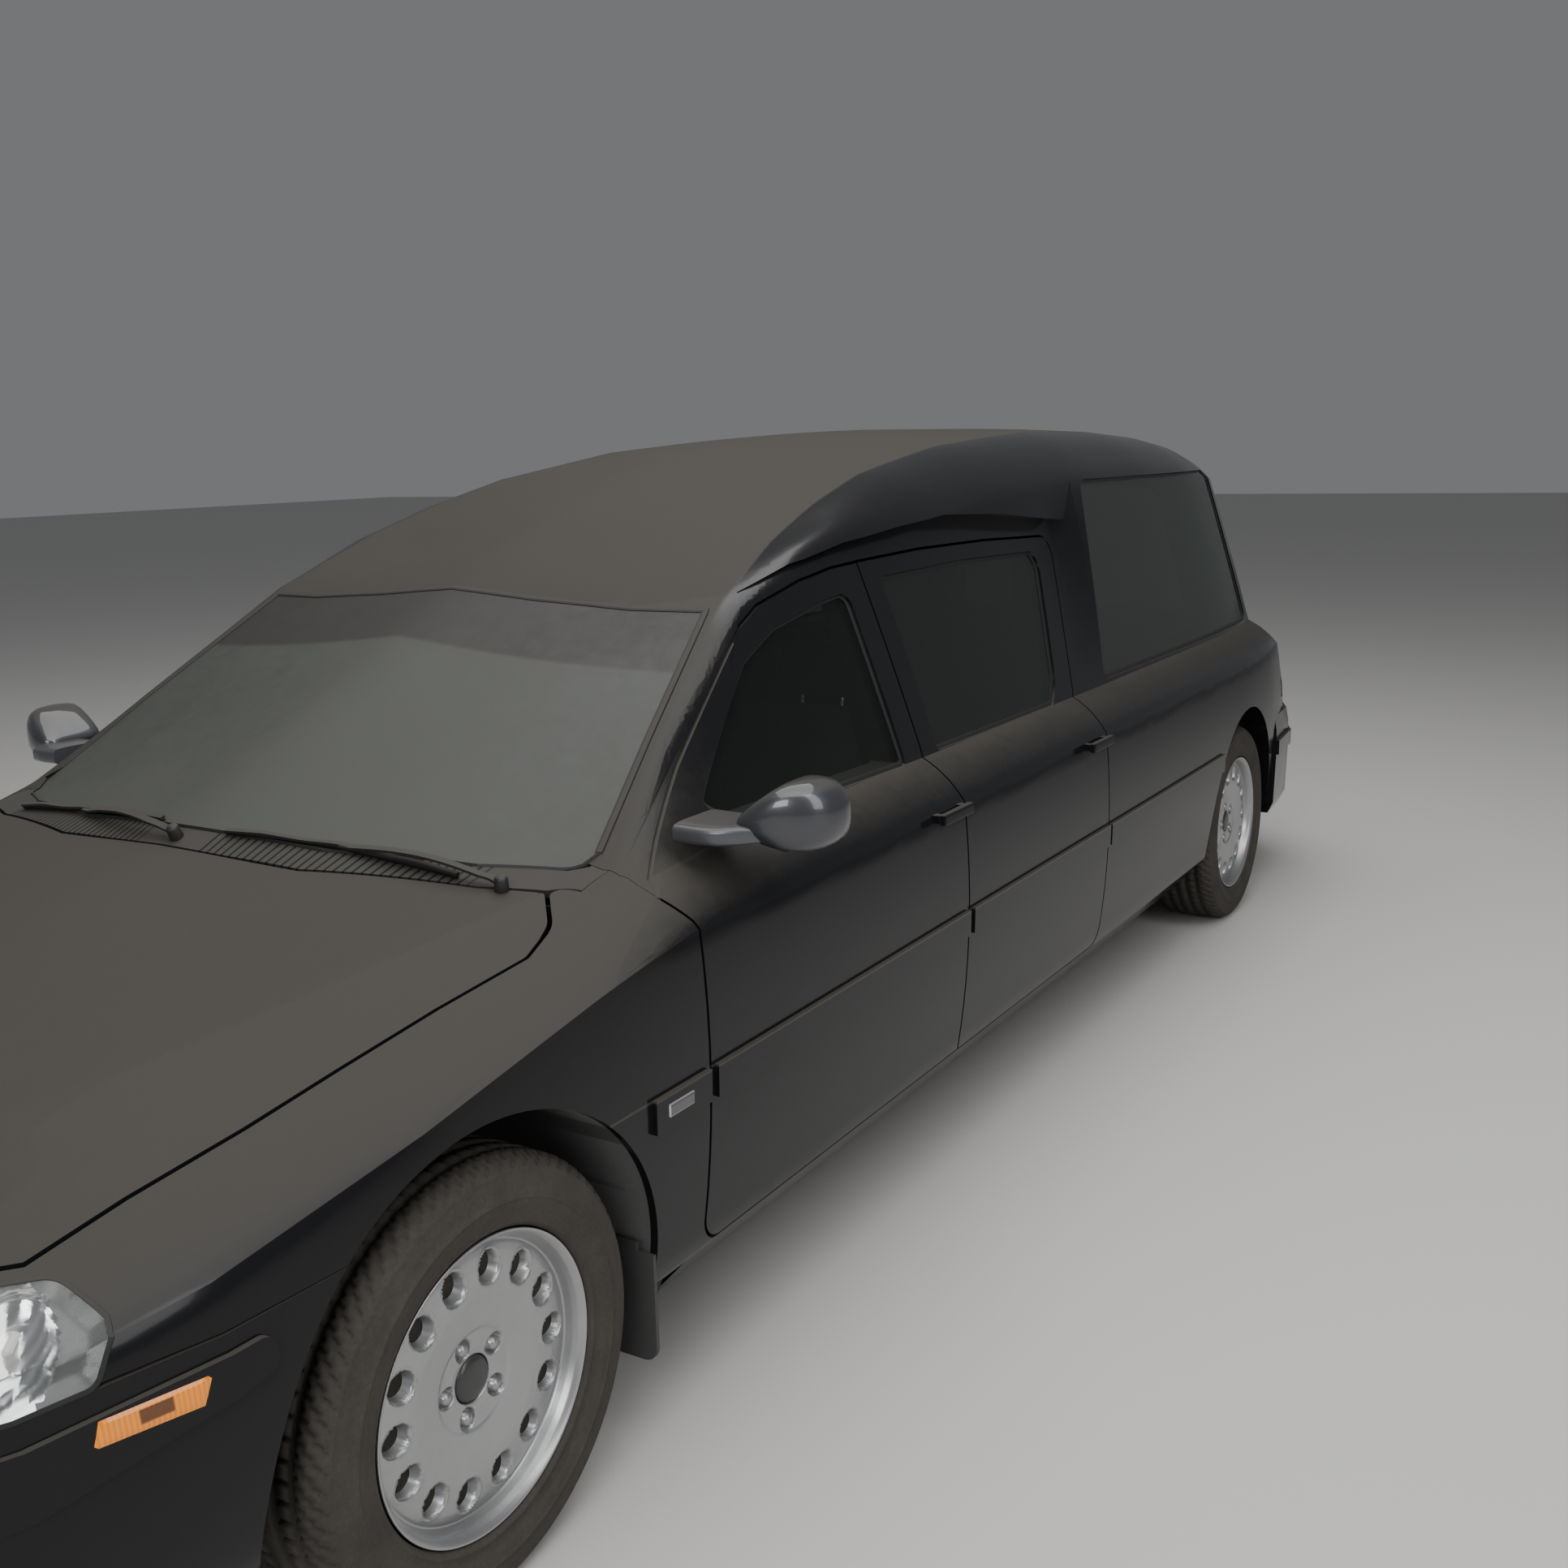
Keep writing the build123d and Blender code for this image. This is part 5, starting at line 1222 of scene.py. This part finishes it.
# Underbody: welded steel floor, front frame and rear axle under black wax, with stone chips down to grey
# primer and road dirt on every ledge; the wheel housings and mud flaps are grey-black plastic.
waxed = Finish("black_wax", Specular_IOR_Level=0.4)
_, coloured = dusted(waxed, (0.018, 0.018, 0.019, 1), 0.5, 0.8, 0.30)
chips = waxed.steps(waxed.noise(75.0, 2.0, 0.4), 0.70, 0.73)
waxed.set(Base_Color=waxed.mix(chips, coloured, (0.12, 0.12, 0.12, 1)))
waxed.bump(waxed.noise(120.0, 5.0, 0.7), 0.3, 0.002)
trough = Finish("floor_carpet")
inside = trough.steps(trough.facing()[2], 0.5, 0.9)
pile = trough.noise(900.0, 3.0, 0.7)
tufts = trough.mix(pile, (0.020, 0.021, 0.023, 1), (0.060, 0.061, 0.065, 1))
trough.set(Base_Color=trough.mix(inside, (0.022, 0.022, 0.022, 1), tufts), Roughness=pile * 0.1 + 0.85)
trough.bump(pile, 0.4, 0.002)
liner = Finish("grey_liner", Specular_IOR_Level=0.35)
_, coloured = dusted(liner, (0.062, 0.068, 0.071, 1), 0.6, 0.8, 0.25)
splash = liner.noise(14.0, 6.0, 0.7)
liner.set(Base_Color=liner.mix(splash * 0.5, coloured, (0.040, 0.036, 0.031, 1)))
liner.bump(liner.noise(60.0, 5.0, 0.7), 0.3, 0.002)
underside = (("floor_pan", trough), ("front_frame", waxed), ("rear_axle", waxed), ("wheel_housings", liner))
for name, finish in underside:
    shown(name + "_sheet", skin_of(name, gridded(name, 0.15)), "body", finish, "underbody", name)

# Front struts: a cast-iron knuckle carries each wheel on a black damper tube, with a painted steel coil
# spring round it; the lower arm and the strut tower hold it.
def bare(name):
    """The CAD node's own form, without its plain material."""
    mesh = frame["nodes"][name].data.copy()
    mesh.materials.clear()
    return mesh


cast_iron = Finish("cast_iron", Metallic=0.4)
rust = cast_iron.noise(30.0, 6.0, 0.7)
mottled(cast_iron, rust, (0.045, 0.043, 0.041), (0.110, 0.062, 0.036), 0.5, 0.3)
cast_iron.bump(rust, 0.3, 0.001)
spring_paint = Finish("spring_paint", Coat_Weight=0.3)
dusted(spring_paint, (0.020, 0.020, 0.022, 1), 0.35, 0.8, 0.3)
COIL_TURNS = 5
COIL_RADIUS = 0.056
COIL_WIRE = 0.0058
COIL_FOOT, COIL_RISE = 0.300, 0.215
COIL_STEPS = 24
WIRE_ANGLES = [2 * math.pi * k / 10 for k in range(10)]
WIRE = [(COIL_WIRE * math.cos(angle), COIL_WIRE * math.sin(angle)) for angle in WIRE_ANGLES]
for name, side in SIDES:
    low, high = at(0, side * 0.713, 0.214), at(0, side * 0.605, 0.771)
    axis = (high - low).normalized()
    across = axis.cross(Vector((1, 0, 0))).normalized()
    ahead = across.cross(axis)
    body = "knuckle_" + name
    shown("knuckle_casting_" + name, bare(body), body, cast_iron, "chassis", body)
    path = []
    for k in range(COIL_TURNS * COIL_STEPS + 1):
        angle = 2 * math.pi * k / COIL_STEPS
        height = COIL_FOOT + COIL_RISE * k / (COIL_TURNS * COIL_STEPS)
        path.append(low + axis * height + (across * math.cos(angle) + ahead * math.sin(angle)) * COIL_RADIUS)
    normals = [(place - low - axis * (place - low).dot(axis)).normalized() for place in path]
    shown("coil_spring_" + name, swept(path, normals, WIRE, closed=False), body, spring_paint, "chassis")

# Engine: the power unit under its ribbed cover, cast in alloy, with a sump dark with oil; it hangs between
# the front rails.
alloy = Finish("cast_alloy", Metallic=0.6)
x, y, z = alloy.axes()
oily = alloy.steps(z + alloy.noise(8.0, 5.0, 0.7) * 0.15, 0.48, 0.36)
grit = alloy.noise(180.0, 4.0, 0.7)
cast = alloy.mix(grit, (0.15, 0.15, 0.15, 1), (0.26, 0.26, 0.25, 1))
alloy.set(Base_Color=alloy.mix(oily, cast, (0.020, 0.017, 0.014, 1)), Roughness=grit * 0.3 + 0.4)
alloy.bump(((x * 90.0).math("SINE") * 0.5 + 0.5) * (1.0 - oily), 0.5, 0.006)
lo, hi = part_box("engine")
levels = (
    # height, how far the sides draw in
    (lo[2], 0.05), (lo[2] + 0.02, 0.03), (lo[2] + 0.12, 0.025), (lo[2] + 0.13, 0.0), (hi[2] - 0.10, 0.0),
    (hi[2] - 0.095, 0.015), (hi[2] - 0.01, 0.02), (hi[2], 0.035),
)
block = [oval(Vector(((lo[0] + hi[0]) / 2, 0, height)), Vector(((hi[0] - lo[0]) / 2 - inset, 0, 0)),
              Vector((0, (hi[1] - lo[1]) / 2 - inset, 0)), 10.0, 64) for height, inset in levels]
shown("engine_block", lofted("block", block), "body", alloy, "engine", "engine")

# Exhaust: a welded steel pipe and silencer, browned by heat and road salt, hung below the floor, with a
# bright rolled tip on the tail pipe.
TIP = ((0.0215, 0.0), (0.0228, 0.0), (0.0240, 0.002), (0.0240, 0.045), (0.0222, 0.046))
burnt = Finish("burnt_steel", Metallic=0.7)
scale = burnt.noise(22.0, 6.0, 0.7)
mottled(burnt, scale, (0.10, 0.075, 0.055), (0.22, 0.17, 0.13), 0.35, 0.35)
burnt.bump(scale, 0.2, 0.001)
shown("exhaust_pipe", bare("exhaust"), "body", burnt, "chassis", "exhaust")
rearward = Matrix.Translation(at(4.803, 0.120, 0.190)) @ Matrix.Rotation(math.radians(-90), 4, "Z")
shown("exhaust_tip", turned(TIP, 48, rearward, closed=True), "body", bright, "chassis")
